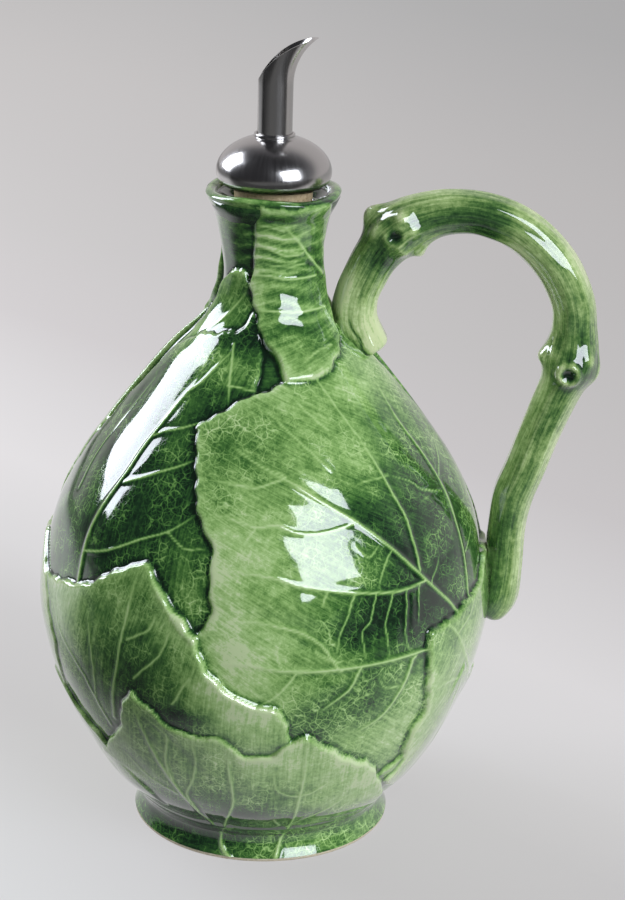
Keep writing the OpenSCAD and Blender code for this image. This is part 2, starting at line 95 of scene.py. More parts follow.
def gridPiece(points, values):
    # A grid with a vertex at each of the points, and values on its vertices for the glaze to follow
    rowCount, columnCount = points.shape[:2]
    piece = addPrimitive(bpy.ops.mesh.primitive_grid_add, x_subdivisions=columnCount - 1,
                         y_subdivisions=rowCount - 1, size=2)
    mesh = piece.data
    flat = np.empty(len(mesh.vertices) * 3, np.float32)
    mesh.vertices.foreach_get("co", flat)
    flat = flat.reshape(-1, 3)
    column = np.rint((flat[:, 0] + 1) / 2 * (columnCount - 1)).astype(int)
    row = np.rint((flat[:, 1] + 1) / 2 * (rowCount - 1)).astype(int)
    mesh.vertices.foreach_set("co", points[row, column].astype(np.float32).ravel())
    for key, value in values.items():
        kind, field = ("FLOAT_VECTOR", "vector") if value.ndim == 3 else ("FLOAT", "value")
        attribute = mesh.attributes.new(key, kind, "POINT")
        attribute.data.foreach_set(field, value[row, column].astype(np.float32).ravel())
    mesh.shade_smooth()
    mesh.update()
    return piece, row, column


def finishPiece(piece, name, body, node, material):
    piece.name = piece.data.name = name
    piece.data.materials.clear()
    piece.data.materials.append(material)
    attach(piece, body)
    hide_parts(node)


def smooth(a, b, x):
    t = np.clip((x - a) / (b - a), 0, 1)
    return t * t * (3 - 2 * t)


# Outline of the thrown bottle
outline = {
    "height": [0, 6, 9, 18.9, 30.24, 43.47, 56.7, 70.88, 85.05, 98.28, 111.51, 122.85, 134.19, 143.64,
               151.2, 158.76, 166.32, 174.83, 182.39, 187.11, 189],
    "radius": [38, 35.8, 37, 46.28, 53.17, 58.96, 63.18, 65, 63.18, 59.54, 52.78, 44.98, 36.27, 28.6,
               21.15, 16.65, 15.05, 14.75, 16.15, 18.3, 19],
    "lipWave": 0.5,        # how far the lip goes up and down
    "mouthRadius": 15.6,
    "lipFrom": 188.3,      # height at which the skin leaves the outline to turn over the lip,
    "lipMiddle": 188.1,    # round this height
    "lipRise": 1.15,
}
stationZ = np.array(outline["height"], float)
stationR = np.array(outline["radius"], float)
jarHeight, widest = stationZ[-1], stationR.max()
ends = np.arange(len(stationZ))
before, after = np.maximum(ends - 1, 0), np.minimum(ends + 1, len(ends) - 1)
stationSlope = (stationR[after] - stationR[before]) / (stationZ[after] - stationZ[before])


def radiusAt(z):
    z = np.clip(z, 0, stationZ[-1])
    i = np.clip(np.searchsorted(stationZ, z, side="right") - 1, 0, len(stationZ) - 2)
    h = stationZ[i + 1] - stationZ[i]
    t = (z - stationZ[i]) / h
    return (stationR[i] * (1 + 2 * t) * (1 - t) ** 2 + stationR[i + 1] * (3 - 2 * t) * t * t
            + h * stationSlope[i] * t * (1 - t) ** 2 - h * stationSlope[i + 1] * t * t * (1 - t))


tableZ = np.linspace(0, jarHeight, 3000)
tableS = np.concatenate([[0], np.cumsum(np.hypot(np.diff(tableZ), np.diff(radiusAt(tableZ))))])


def alongAt(z):
    return np.interp(z, tableZ, tableS)  # length along the outline, from the foot up


# Each leaf, from the lowest layer to the top one: base and rim as (azimuth, height, lift over the
# outline), how thick the glaze lies on it, how strongly its fine net of veins shows, the direction
# of the brush on it, and its veins from stem to tip as (thickness, [(azimuth, height) ...])
leafPlan = {
    "collar": {
        "base": (-130, 158, -1), "glaze": 0.44, "net": 0.5, "brush": 70,
        "rim": [
            (-168, 150, -0.6), (-162, 160, -0.3), (-150, 165, -0.3), (-135, 168, -0.3), (-120, 169.5, -0.2),
            (-111, 166, -0.2), (-98, 164, -0.8), (-90, 156, -1), (-100, 148, -1.2), (-130, 146, -1.2),
            (-158, 142, -1.2)],
        "veins": [
            (0.5, [(-150, 150), (-132, 156), (-112, 163)])],
    },
    "shoulder": {
        "base": (-141, 86, -1.1), "glaze": 0.72, "net": 0.8, "brush": 100,
        "rim": [
            (-165, 145, -0.3), (-150, 150, -0.2), (-130, 152, -0.2), (-112, 153.5, -0.2), (-100, 158, -0.2),
            (-91, 150, -1), (-92, 130, -1), (-88, 110, -1), (-92, 90, -1.1), (-97, 76, -1.2),
            (-115, 72, -1.2), (-140, 70, -1.2), (-160, 70, -1.2), (-173, 85, -0.4), (-176, 105, -0.3),
            (-172, 128, -0.3)],
        "veins": [
            (1.1, [(-141, 84), (-141.5, 97), (-140.5, 106), (-137, 116),
                   (-135, 124), (-130, 134), (-124, 142)]),
            (0.7, [(-141, 94), (-132, 97), (-123, 102), (-114, 106), (-105, 112)]),
            (0.65, [(-136, 114), (-127, 117.5), (-118, 121), (-110, 124)]),
            (0.45, [(-114, 106), (-108, 103), (-101, 103.5)]),
            (0.55, [(-134, 126), (-129, 128), (-119, 130.5), (-110, 133), (-102, 136)]),
            (0.6, [(-127, 138), (-123, 140), (-118, 144), (-111, 149)]),
            (0.6, [(-112, 150), (-108.5, 146), (-106, 141), (-104, 136)]),
            (0.5, [(-107, 141), (-100, 141), (-88, 140)]), (0.6, [(-158, 106), (-160, 118), (-156, 138)])],
    },
    "front": {
        "base": (-31, 79, -0.4), "glaze": 0.35, "net": 0.85, "brush": -35,
        "rim": [
            (-115, 130.5, 0.8), (-104, 136, 0.8), (-90, 140, 0.6), (-76, 143, 0.1), (-62, 149, -0.8),
            (-40, 152, -0.8), (-15, 154, -0.6), (-3, 146, -0.2), (6, 128, 0), (5, 108, 0), (-2, 92, -0.4),
            (-12, 78, -0.8), (-22, 60, -0.8), (-33, 42, -0.8), (-42, 24, -0.8), (-56, 28, -0.8),
            (-70, 38, -0.8), (-88, 42, -0.8), (-97, 52, -0.8), (-103, 66, -0.7), (-102.5, 79, 0),
            (-99, 86, 0.4), (-99, 96, 0.6), (-100, 103, 0.6), (-102.5, 108, 0.7), (-107.5, 115, 0.7),
            (-110, 122.5, 0.7)],
        "veins": [
            (1.2, [(-29, 79), (-32.5, 83.5), (-40, 91.5), (-49, 101.5), (-58.5, 109.5),
                   (-69, 115.5), (-78, 120), (-88, 123)]),
            (1.0, [(-24, 76), (-22, 81), (-21, 90), (-20, 100), (-18.5, 109.5),
                   (-19.5, 120), (-22, 130), (-20, 139)]),
            (0.75, [(-41, 94), (-41, 102), (-41, 108), (-43, 115), (-45, 122.5), (-48, 129)]),
            (0.7, [(-58, 109.5), (-67, 108), (-76, 108), (-82, 110),
                   (-88, 109.5), (-95, 111), (-102, 112)]),
            (0.6, [(-79, 121), (-82, 120), (-89, 118.5), (-96, 119), (-104, 119.5)]),
            (0.45, [(-80, 121.5), (-89, 124), (-98, 127.5)]),
            (0.85, [(-39.5, 91), (-49, 90.5), (-60, 92), (-70, 94), (-77, 95.5),
                   (-83, 97.5), (-91, 98.5), (-100, 98)]),
            (1.0, [(-38, 71), (-42, 72), (-50, 72), (-61, 72), (-70.5, 72),
                   (-80, 72.5), (-89, 74), (-98, 74)]),
            (0.7, [(-66, 71.5), (-67, 72.5), (-70.5, 78.5), (-75, 82.5),
                   (-80.5, 84.5), (-87, 86), (-96, 85.5)]),
            (0.7, [(-61, 71.5), (-64, 65), (-71, 59)]),
            (0.85, [(-45, 71), (-46, 70), (-48.5, 62), (-53.5, 54), (-62, 49)]),
            (0.55, [(-77, 72), (-81.5, 65), (-86.5, 61.5)]),
            (0.5, [(-62, 92), (-64, 87), (-66.5, 81), (-67.5, 76)]),
            (0.5, [(-56, 91), (-58, 84.5), (-60.5, 81), (-59.5, 72.5)]),
            (0.5, [(-51, 90.5), (-54, 82), (-53.5, 78), (-53, 72.5)]),
            (0.5, [(-46.5, 90.5), (-48, 79.5), (-47, 72.5)]), (0.45, [(-42, 91), (-44, 79)]),
            (0.45, [(-69.5, 93.5), (-70.5, 89.5)]), (0.4, [(-41.5, 118.5), (-48.5, 118.5), (-55.5, 118)]),
            (0.45, [(-20, 109.5), (-29.5, 112.5), (-33.5, 115.5), (-41, 118.5)]),
            (0.45, [(-17.5, 113), (-9.5, 116.5), (-3, 119.5)]), (0.45, [(-20.5, 92), (-9.5, 97)]),
            (0.4, [(-38, 89.5), (-35.5, 92), (-32, 96)]), (0.4, [(-60, 104), (-56.5, 100.5), (-52, 104)]),
            (0.4, [(-49, 101.5), (-53, 97), (-55, 92)]), (0.4, [(-88, 109.5), (-91, 105)]),
            (0.4, [(-52, 53.5), (-48, 50), (-47, 45)]), (0.4, [(-66, 74), (-71, 76), (-73, 79)]),
            (0.4, [(-49.5, 63), (-54, 64), (-56, 68)]), (0.4, [(-80, 72.5), (-82, 77), (-81, 80)]),
            (0.35, [(-63, 122), (-73, 129), (-88, 137)]), (0.35, [(-60, 131), (-75, 139.5)]),
            (0.35, [(-47, 128), (-56, 140), (-62, 146)])],
    },
    "left": {
        "base": (-131, 43, -0.6), "glaze": 0.44, "net": 0.6, "brush": 75,
        "rim": [
            (-160, 80, 0.2), (-149, 83, 0.4), (-141, 84.5, 0.4), (-131, 90, 0.6), (-119, 97.5, 0.8),
            (-114, 94, 1.1), (-105, 84, 1.5), (-101, 79.5, 1.7), (-97.5, 70, 1.4), (-90, 64, 1.3),
            (-80, 59, 1.1), (-78, 50, 0.7), (-84, 41, -0.8), (-100, 32, -0.8), (-125, 26, -0.8),
            (-145, 32, -0.8), (-165, 46, -0.4), (-173, 60, 0), (-170, 72, 0.1)],
        "veins": [
            (0.75, [(-128, 48), (-126, 57), (-123, 68), (-121, 80), (-120, 87), (-119, 94)]),
            (0.7, [(-101.5, 79), (-105.5, 82.5), (-110.5, 88.5), (-116, 96)]),
            (0.55, [(-118, 65), (-110.5, 74), (-107, 83)]), (0.5, [(-120, 76), (-114, 80), (-112, 85)]),
            (0.5, [(-107.5, 60), (-102, 70)]), (0.6, [(-131, 44), (-137, 58), (-147, 68), (-152, 78)]),
            (0.5, [(-134, 52), (-132, 66), (-134, 80)])],
    },
    "bottom": {
        "base": (-92, 20, -0.4), "glaze": 0.27, "net": 0.9, "brush": 85,
        "rim": [
            (-146, 28, 0.2), (-140, 33, 1), (-127.5, 44.5, 1.1), (-120, 60, 1.4), (-116.5, 59.5, 1.3),
            (-110, 53, 1.1), (-104, 51, 1.1), (-95, 50, 1.1), (-90, 45.5, 1.1), (-82.5, 45.5, 1.1),
            (-74, 52, 1.3), (-65, 44.5, 1.3), (-55, 39, 1.3), (-47, 31, 1.3), (-40, 22, 1.1),
            (-37, 15, 0.4), (-45, 9.5, -0.6), (-70, 9, -0.6), (-92, 9, -0.6), (-120, 9, -0.6),
            (-140, 11, -0.6), (-148, 18, -0.2)],
        "veins": [
            (0.85, [(-104, 8.5), (-112, 28.5), (-116.5, 44), (-118.5, 58)]),
            (0.6, [(-112.5, 31), (-112.5, 39.5), (-110.5, 46), (-111, 50), (-119, 57)]),
            (0.65, [(-107.5, 18), (-109, 26), (-105, 33.5), (-103, 42), (-103.5, 49)]),
            (0.8, [(-101.5, 9), (-95, 21), (-93.5, 29), (-94, 40), (-93.5, 47)]),
            (0.8, [(-73, 9), (-73, 20), (-73, 29.5), (-73, 40), (-74, 51)]),
            (0.55, [(-73, 28.5), (-77, 29), (-80.5, 32), (-81.5, 38.5)]),
            (0.5, [(-73, 28.5), (-69, 30), (-63.5, 35)]),
            (0.6, [(-74, 12), (-69, 16.5), (-63, 20.5), (-55, 28)]),
            (0.5, [(-113, 25), (-122, 30), (-128, 38)])],
    },
    "right": {
        "base": (-6, 54, -0.2), "glaze": 0.22, "net": 0.9, "brush": 60,
        "rim": [
            (-41, 76.5, 1.3), (-30, 79, 1.3), (-17.5, 81.5, 1.1), (-8, 86, 1), (4, 88, 0.8), (14, 84, 0.7),
            (24, 76, 0.6), (29, 64, 0.4), (27, 48, 0.2), (19, 34, 0), (5, 26, -0.4), (-15, 22, -0.5),
            (-31, 20, -0.4), (-42, 27, 1), (-40, 33, 1.1), (-41, 44, 1.3), (-38.5, 54, 1.3), (-41, 64, 1.3)],
        "veins": [
            (0.7, [(-12, 52), (-21.5, 61), (-32, 75), (-37, 78)]),
            (0.6, [(-11, 52), (-29, 58), (-39, 58.5)]), (0.5, [(-30, 73), (-24, 76), (-20, 80)]),
            (0.6, [(-6, 54), (6, 66), (12, 80)])],
    },
    "neck": {
        "base": (-58, 172, 0.3), "glaze": 0.36, "net": 0.35, "brush": 20,
        "rim": [
            (-98, 187, 0.5), (-60, 188, 0.5), (-24, 187.5, 0.5), (-14, 180, 0.5), (-9, 168, 0.5),
            (-14, 157, 0.6), (-27, 150, 0.8), (-40, 146, 0.8), (-55, 143, 0.8), (-66, 143, 0.8),
            (-77, 142, 0.8), (-79, 146, 0.8), (-85, 150, 0.8), (-94, 153, 0.8), (-99, 157.5, 0.8),
            (-104, 162, 0.7), (-107.5, 166.5, 0.7), (-103, 179, 0.6)],
        "veins": [
            (0.75, [(-21, 167), (-40, 172), (-54.5, 176.5), (-76, 183)]),
            (0.7, [(-51, 174), (-68, 173.5), (-87, 175.5), (-106, 177.5)]),
            (0.75, [(-33, 167), (-64, 167), (-87, 168), (-108, 168)]),
            (0.75, [(-27, 158), (-51, 158), (-86, 158.5), (-102, 159)]),
            (0.55, [(-74, 181), (-86, 182), (-100, 182.5)]),
            (0.5, [(-48, 171), (-70, 170.5), (-96, 171.5)]), (0.5, [(-40, 149), (-54, 148), (-66, 146)])],
    },
}
# Two more bottom leaves fill the sides, a little lower, turned away from the front and the back
layers = [(name, turn) for turn in (0, 180) for name in ("collar", "shoulder", "front", "left")]
layers += [("sideBottom", 95), ("sideBottom", -85)]
layers += [(name, turn) for turn in (0, 180) for name in ("bottom", "right", "neck")]
side = leafPlan["bottom"]
leafPlan["sideBottom"] = dict(
    side, base=side["base"][:2] + (side["base"][2] - 0.5,),
    rim=[(a, z, lift - 0.5) for a, z, lift in side["rim"]], glaze=0.36)
# Stems that run down over the foot, on the front and the back
stems = [(1.2, [(-98, 1), (-101, 2.5), (-103, 5), (-102.5, 9.5)]),
         (0.9, [(-78, 1.5), (-76, 5.5), (-74, 9.5)])]

# Where the glaze lies thicker (+) or thinner (-): azimuth, height, half widths in mm, amount
pools = [
    (-36, 92, 17, 17, 0.44), (-50, 82, 20, 8, 0.3), (-26, 117, 10, 20, 0.28), (-47, 97, 7, 7, 0.12),
    (-93, 116, 7, 6, 0.08), (-52, 108, 12, 10, 0.22), (-12, 100, 10, 26, 0.22), (-58, 62, 11, 10, 0.3),
    (-72, 56, 7, 8, 0.2), (-93, 102, 12, 13, -0.18), (-88, 79, 10, 8, -0.26), (-60, 136, 30, 9, -0.06),
    (-20, 145, 20, 8, -0.1), (-60, 84, 9, 7, 0.28), (-48, 46, 9, 9, -0.14), (-46, 57, 6, 8, -0.06),
    (-48, 113, 10, 8, 0.12), (-115, 65, 11, 14, 0.27), (-136, 56, 12, 12, 0.12), (-95, 64, 10, 9, -0.3),
    (-86, 56, 9, 7, -0.22), (-148, 78, 12, 8, -0.28), (-124, 84, 9, 7, -0.08), (-98, 16, 28, 6, 0.62),
    (-126, 6, 20, 6, 0.3), (-100, 30, 10, 10, 0.12), (-83, 26, 9, 9, 0.2), (-118, 22, 22, 8, 0.24),
    (-112, 42, 14, 12, 0.16), (-60, 16, 14, 5, 0.1), (-84, 42, 8, 7, -0.1), (-68, 42, 9, 8, -0.1),
    (-52, 30, 10, 8, -0.14), (-50, 3, 24, 6, -0.13), (-105, 129, 9, 8, 0.28), (-84, 129, 8, 7, 0.07),
    (-132, 110, 16, 24, 0.14), (-114, 126, 8, 9, -0.16), (-110, 113, 8, 9, 0.06), (-105, 99, 7, 7, 0.02),
    (-105, 88, 6, 8, -0.3), (-110, 146, 9, 7, -0.08), (-118, 146, 20, 6, -0.12), (-140, 174, 14, 10, 0.1),
    (-88, 184, 4, 1.8, 0.34), (-64, 184.5, 6, 1.8, 0.34), (-80, 177, 6, 5, -0.12), (-100, 153, 8, 6, 0.25),
    (-30, 176, 8, 10, 0.12), (-62, 150, 14, 5, 0.2), (-31, 159, 10, 12, 0.16), (-104, 56, 7, 3, 0.4)]
# Crumples across the leaf on the neck: azimuth, height, half widths and pitch in mm, how tall the
# waves are, and how much thinner the glaze lies on them
crumples = [(-82, 175, 10, 8, 3.6, 0.06, 0.42), (-62, 159, 11, 8, 5.2, 0.05, 0.24),
            (-45, 172, 8, 7, 4.4, 0.03, 0.16)]

skinGrid = {
    "firstHeight": 1.1,
    "rowStep": 0.55,
    "least": 8,            # smallest radius that the width of a column is worked out for
    "bed": 2.0,            # depth of the clay between the leaves
    "bedFoot": (10, 16), "bedNeck": (162, 178),  # heights at which it sets in and ends
    "bedGlaze": 0.62,
    "reach": 3.5,          # how far past its rim a leaf has an effect
    "rimWidth": 0.4,       # half width of the wall along a leaf's rim
    "wallDepth": 3.2,
    "rimRound": (0.22, 1.1),   # how much lower the rim itself lies, and over what width
    "rimThin": (0.13, 0.5),    # how much thinner the glaze lies on the rim, and over what width
    "edgeThin": (0.07, 3),     # the same for the band beside it
    "creaseGlaze": [(0.32, 0.9, 2), (0.1, 3, 1)],  # extra glaze outside a rim: amount, width, power
    "curl": 1.6,
    "quilt": 0.18,         # how far the blade puffs up between its veins
    "quiltWidth": 4,
    "softClay": 0.34,      # widths over which the clay and the glaze are smoothed out
    "softGlaze": 0.45,
    "softGap": 0.2,
    "softVein": 0.12,
    # glaze runs into hollows, and off what stands out: width, amount, least and most depth
    "hollows": [(1.1, 0.4, -0.15, 0.4), (3.2, 0.1, -0.3, 0.7)],
    "parts": [("skin_left", -185, -90, 0.5), ("skin_right", -90, 5, 0.5), ("skin_back", 5, 175, 0.86)],
}
veinShape = {
    "reach": 12,           # how far from a vein it has an effect
    "sway": 0.42,          # how far a thin vein wanders
    "taper": 0.45,         # share of its width that it loses towards its tip
    "tall": 0.55,          # height as a share of half its width
    "ridge": 0.45,         # half width of its ridge, as a share of its own, and of the bare line
    "paint": 0.28,         # along its crest
    "more": 0.2,           # mm that are added to both
}


noGap = 9.0  # stands for the way to a rim where none is near


def turned(azimuth, centre):
    return (azimuth - centre + 180) % 360 - 180 + centre


def curvePoints(points, perSpan, swing=0.42):
    # A smooth line through the points, whose slope at each follows its two neighbours
    p = np.array(points, float)
    p = np.vstack([2 * p[0] - p[1], p, 2 * p[-1] - p[-2]])
    t = np.linspace(0, 1, perSpan, endpoint=False)[:, None]
    out = []
    for a, b, c, d in zip(p[:-3], p[1:-2], p[2:-1], p[3:]):
        out.append((2 * t ** 3 - 3 * t ** 2 + 1) * b + (t ** 3 - 2 * t ** 2 + t) * swing * (c - a)
                   + (3 * t ** 2 - 2 * t ** 3) * c + (t ** 3 - t ** 2) * swing * (d - b))
    return np.vstack(out + [p[-2:-1]])


def rimLine(rim):
    # The rim as a closed line of azimuth and length along the outline, with small uneven teeth
    line = curvePoints([r[:2] for r in rim] + [rim[0][:2]], 9)[:-1]
    scale = np.pi / 180 * radiusAt(line[:, 1])
    xy = np.column_stack([line[:, 0] * scale.mean(), alongAt(line[:, 1])])
    step = np.roll(xy, -1, 0) - np.roll(xy, 1, 0)
    length = np.concatenate([[0], np.cumsum(np.hypot(*np.diff(xy, axis=0).T))])
    normal = np.column_stack([-step[:, 1], step[:, 0]]) / np.hypot(*step.T)[:, None]
    tooth = 0.32 * np.sin(length / 1.15 + 1.3 * np.sin(length / 6.1)) + 0.38 * np.sin(length / 2.7 + 0.8)
    xy = xy + normal * tooth[:, None]
    return np.column_stack([xy[:, 0] / scale.mean(), xy[:, 1]])


def toLine(a, s, scale, line, closed):
    # Distance in mm from points to a line, the share of its length, and whether they lie inside it
    ends = np.roll(line, -1, 0) if closed else line[1:]
    best = np.full(a.shape, 1e9)
    share = np.zeros(a.shape)
    inside = np.zeros(a.shape, bool)
    for i, (p, q) in enumerate(zip(line, ends)):
        px, py = (p[0] - a) * scale, p[1] - s
        dx, dy = (q[0] - p[0]) * scale, q[1] - p[1]
        t = np.clip(-(px * dx + py * dy) / (dx * dx + dy * dy + 1e-12), 0, 1)
        d = (px + t * dx) ** 2 + (py + t * dy) ** 2
        near = d < best
        best = np.where(near, d, best)
        share = np.where(near, (i + t) / len(ends), share)
        if closed and p[1] != q[1]:
            crosses = (p[1] > s) != (q[1] > s)
            inside ^= crosses & (a < p[0] + (s - p[1]) * (q[0] - p[0]) / (q[1] - p[1]))
    return np.sqrt(best), share, inside


def bladeLift(a, z, base, rim):
    # Lift of the blade along the spoke from its base through each point, as in the solid
    dx, dz = a - base[0], z - base[1]
    lift = np.full(a.shape, float(base[2]))
    for p, q in zip(rim, rim[1:] + rim[:1]):
        ax, az, bx, bz = p[0] - base[0], p[1] - base[1], q[0] - base[0], q[1] - base[1]
        u, v = ax * dz - az * dx, dx * bz - dz * bx
        whole = ax * bz - az * bx
        if abs(whole) < 1e-9:
            continue
        with np.errstate(divide="ignore", invalid="ignore"):
            along = u / (u + v)
        share = (u + v) / whole
        hit = (along >= 0) & (along <= 1) & (share > 0)
        t = np.clip(share, 0, 1)
        value = base[2] + (p[2] + (q[2] - p[2]) * along - base[2]) * t ** skinGrid["curl"]
        lift = np.where(hit, value, lift)
    return lift


def veinRidge(a, s, scale, veins, turn):
    # Height of the veins over the blade, the bare line along their crests, and how near the nearest is
    ridge, crest = np.zeros(a.shape), np.zeros(a.shape)
    nearest = np.full(a.shape, 30.0)
    for thick, points in veins:
        line = curvePoints(points, 5)
        line = np.column_stack([line[:, 0] + turn, alongAt(line[:, 1])])
        steps = np.arange(len(line))
        sway = veinShape["sway"] * max(0.1, 1.1 - thick) * np.sin(1.9 * steps + points[0][0])
        sway *= np.sin(0.31 * steps * math.pi)
        line = line + np.column_stack([sway, 0.7 * np.roll(sway, 2)])
        bound = veinShape["reach"] + np.abs(line[:, 1] - line[:, 1].mean()).max()
        close = np.abs(s - line[:, 1].mean()) < bound
        close &= np.abs(a - line[:, 0].mean()) * scale < veinShape["reach"] + np.ptp(line[:, 0]) * scale
        if not close.any():
            continue
        d, share, _ = toLine(a[close], s[close], scale[close], line, False)
        half = thick * (1 - veinShape["taper"] * share)
        tip = 1 - share ** 8
        tall = veinShape["tall"] * half * min(1, 1.2 * thick) * tip
        tall = tall * np.exp(-(d / (veinShape["ridge"] * half + veinShape["more"])) ** 2)
        paint = np.exp(-(d / (veinShape["paint"] * half + veinShape["more"])) ** 2) * tip
        ridge[close] = np.maximum(ridge[close], tall)
        crest[close] = np.maximum(crest[close], paint * min(1, 0.6 + 0.55 * thick))
        nearest[close] = np.minimum(nearest[close], d + 1.2 * share ** 6)
    return ridge, crest, nearest


def layLeaves(azimuth, z, s, state):
    # The leaves one over the other: each writes its values wherever it stands above those before it
    scale = np.pi / 180 * np.maximum(radiusAt(z), skinGrid["least"])
    reach, width = skinGrid["reach"], skinGrid["rimWidth"]
    roundOff, roundWidth = skinGrid["rimRound"]
    thin, thinWidth = skinGrid["rimThin"]
    pale, paleWidth = skinGrid["edgeThin"]
    for name, turn in layers:
        leaf = leafPlan[name]
        base = (leaf["base"][0] + turn,) + leaf["base"][1:]
        rim = [(a + turn, h, lift) for a, h, lift in leaf["rim"]]
        line = rimLine(leaf["rim"])
        line[:, 0] += turn
        local = turned(azimuth, (line[:, 0].min() + line[:, 0].max()) / 2)
        near = ((local > line[:, 0].min() - reach / scale) & (local < line[:, 0].max() + reach / scale)
                & (s > line[:, 1].min() - reach) & (s < line[:, 1].max() + reach))
        if not near.any():
            continue
        a, h, along, k = local[near], z[near], s[near], scale[near]
        away, _, inside = toLine(a, along, k, line, True)
        signed = np.where(inside, away, -away)
        ridge, crest, nearest = veinRidge(a, along, k, leaf["veins"], turn)
        puff = skinGrid["quilt"] * (0.5 - np.exp(-(nearest / skinGrid["quiltWidth"]) ** 2))
        top = bladeLift(a, h, base, rim) + ridge * smooth(-0.2, 1.2, signed) + puff * smooth(0.5, 5, signed)
        top = top - roundOff * (1 - np.clip(signed / roundWidth, 0, 1)) ** 2
        top = np.where(signed < width, top - skinGrid["wallDepth"] * smooth(width, -width, signed), top)
        glaze = leaf["glaze"] - pale * np.exp(-np.clip(signed, 0, 99) / paleWidth)
        glaze = glaze - thin * np.exp(-((signed - 0.5) / thinWidth) ** 2)
        turnBrush = math.radians(leaf["brush"])
        x, y = (a - base[0]) * k, along
        over = top > state["height"][near]
        outside = np.where(signed < -0.1, -signed, noGap)
        gap = np.where(over & (signed > 0), noGap, np.minimum(state["gap"][near], outside))
        for key, value in (("height", top), ("glaze", glaze),
                           ("net", leaf["net"] * smooth(0, 2.5, nearest)),
                           ("vein", crest * smooth(-0.3, 0.5, signed)),
                           ("brushX", x * math.cos(turnBrush) + y * math.sin(turnBrush)),
                           ("brushY", -x * math.sin(turnBrush) + y * math.cos(turnBrush))):
            state[key][near] = np.where(over, value, state[key][near])
        state["gap"][near] = gap


def blurRows(field, sigma):
    # Gaussian blur of every row; sigma is in columns, one value for each row
    out = np.empty_like(field)
    for j, width in enumerate(sigma):
        r = max(1, int(3 * width))
        kernel = np.exp(-0.5 * (np.arange(-r, r + 1) / width) ** 2)
        kernel /= kernel.sum()
        out[j] = np.convolve(np.pad(field[j], r, mode="edge"), kernel, mode="valid")
    return out


def blur(field, across, down):
    rows = blurRows(field, across)
    return blurRows(rows.T, np.full(field.shape[1], down)).T


def profileRows():
    # The way of the skin: up the outline, over the lip and down into the mouth. Each row has its
    # radius and height, its normal, the length of the way so far and the height its pattern uses
    first = alongAt(skinGrid["firstHeight"])
    count = int((alongAt(jarHeight) - first) / skinGrid["rowStep"])
    s = np.linspace(first, alongAt(outline["lipFrom"]), count)
    z = np.interp(s, tableS, tableZ)
    r = radiusAt(z)
    lean = radiusAt(np.minimum(z + 0.5, jarHeight)) - radiusAt(np.maximum(z - 0.5, 0))
    n = np.hypot(1, lean)
    rows = np.column_stack([r, z, 1 / n, -lean / n, s, z])
    mouth, top = outline["mouthRadius"], outline["lipMiddle"]
    centre, half = (rows[-1, 0] + mouth) / 2, (rows[-1, 0] - mouth) / 2
    start = math.atan2(rows[-1, 1] - top, rows[-1, 0] - centre)
    lip = [(centre + half * math.cos(t), top + outline["lipRise"] * math.sin(t) + 0.1, math.cos(t),
            math.sin(t), rows[-1, 4] + 0.3 * i, jarHeight)
           for i, t in enumerate(np.linspace(start + 0.12, math.pi, 13))]
    inside = [(mouth - 0.06 * t - 0.045 * t * t, top - 0.45 * t, -1, 0.3, lip[-1][4] + 0.4 * t, jarHeight)
              for t in range(1, 9)]
    return np.vstack([rows, lip, inside])


def inPatch(azimuth, s, degree, patch, power):
    # Way in mm from the middle of a patch, sideways and upwards, and how strongly a point lies in it
    a0, z0, halfA, halfZ = patch
    da = (turned(azimuth, a0) - a0) * degree
    ds = s - alongAt(z0)
    return da, ds, np.exp(-0.7 * ((da / halfA) ** 2 + (ds / halfZ) ** 2) ** power)


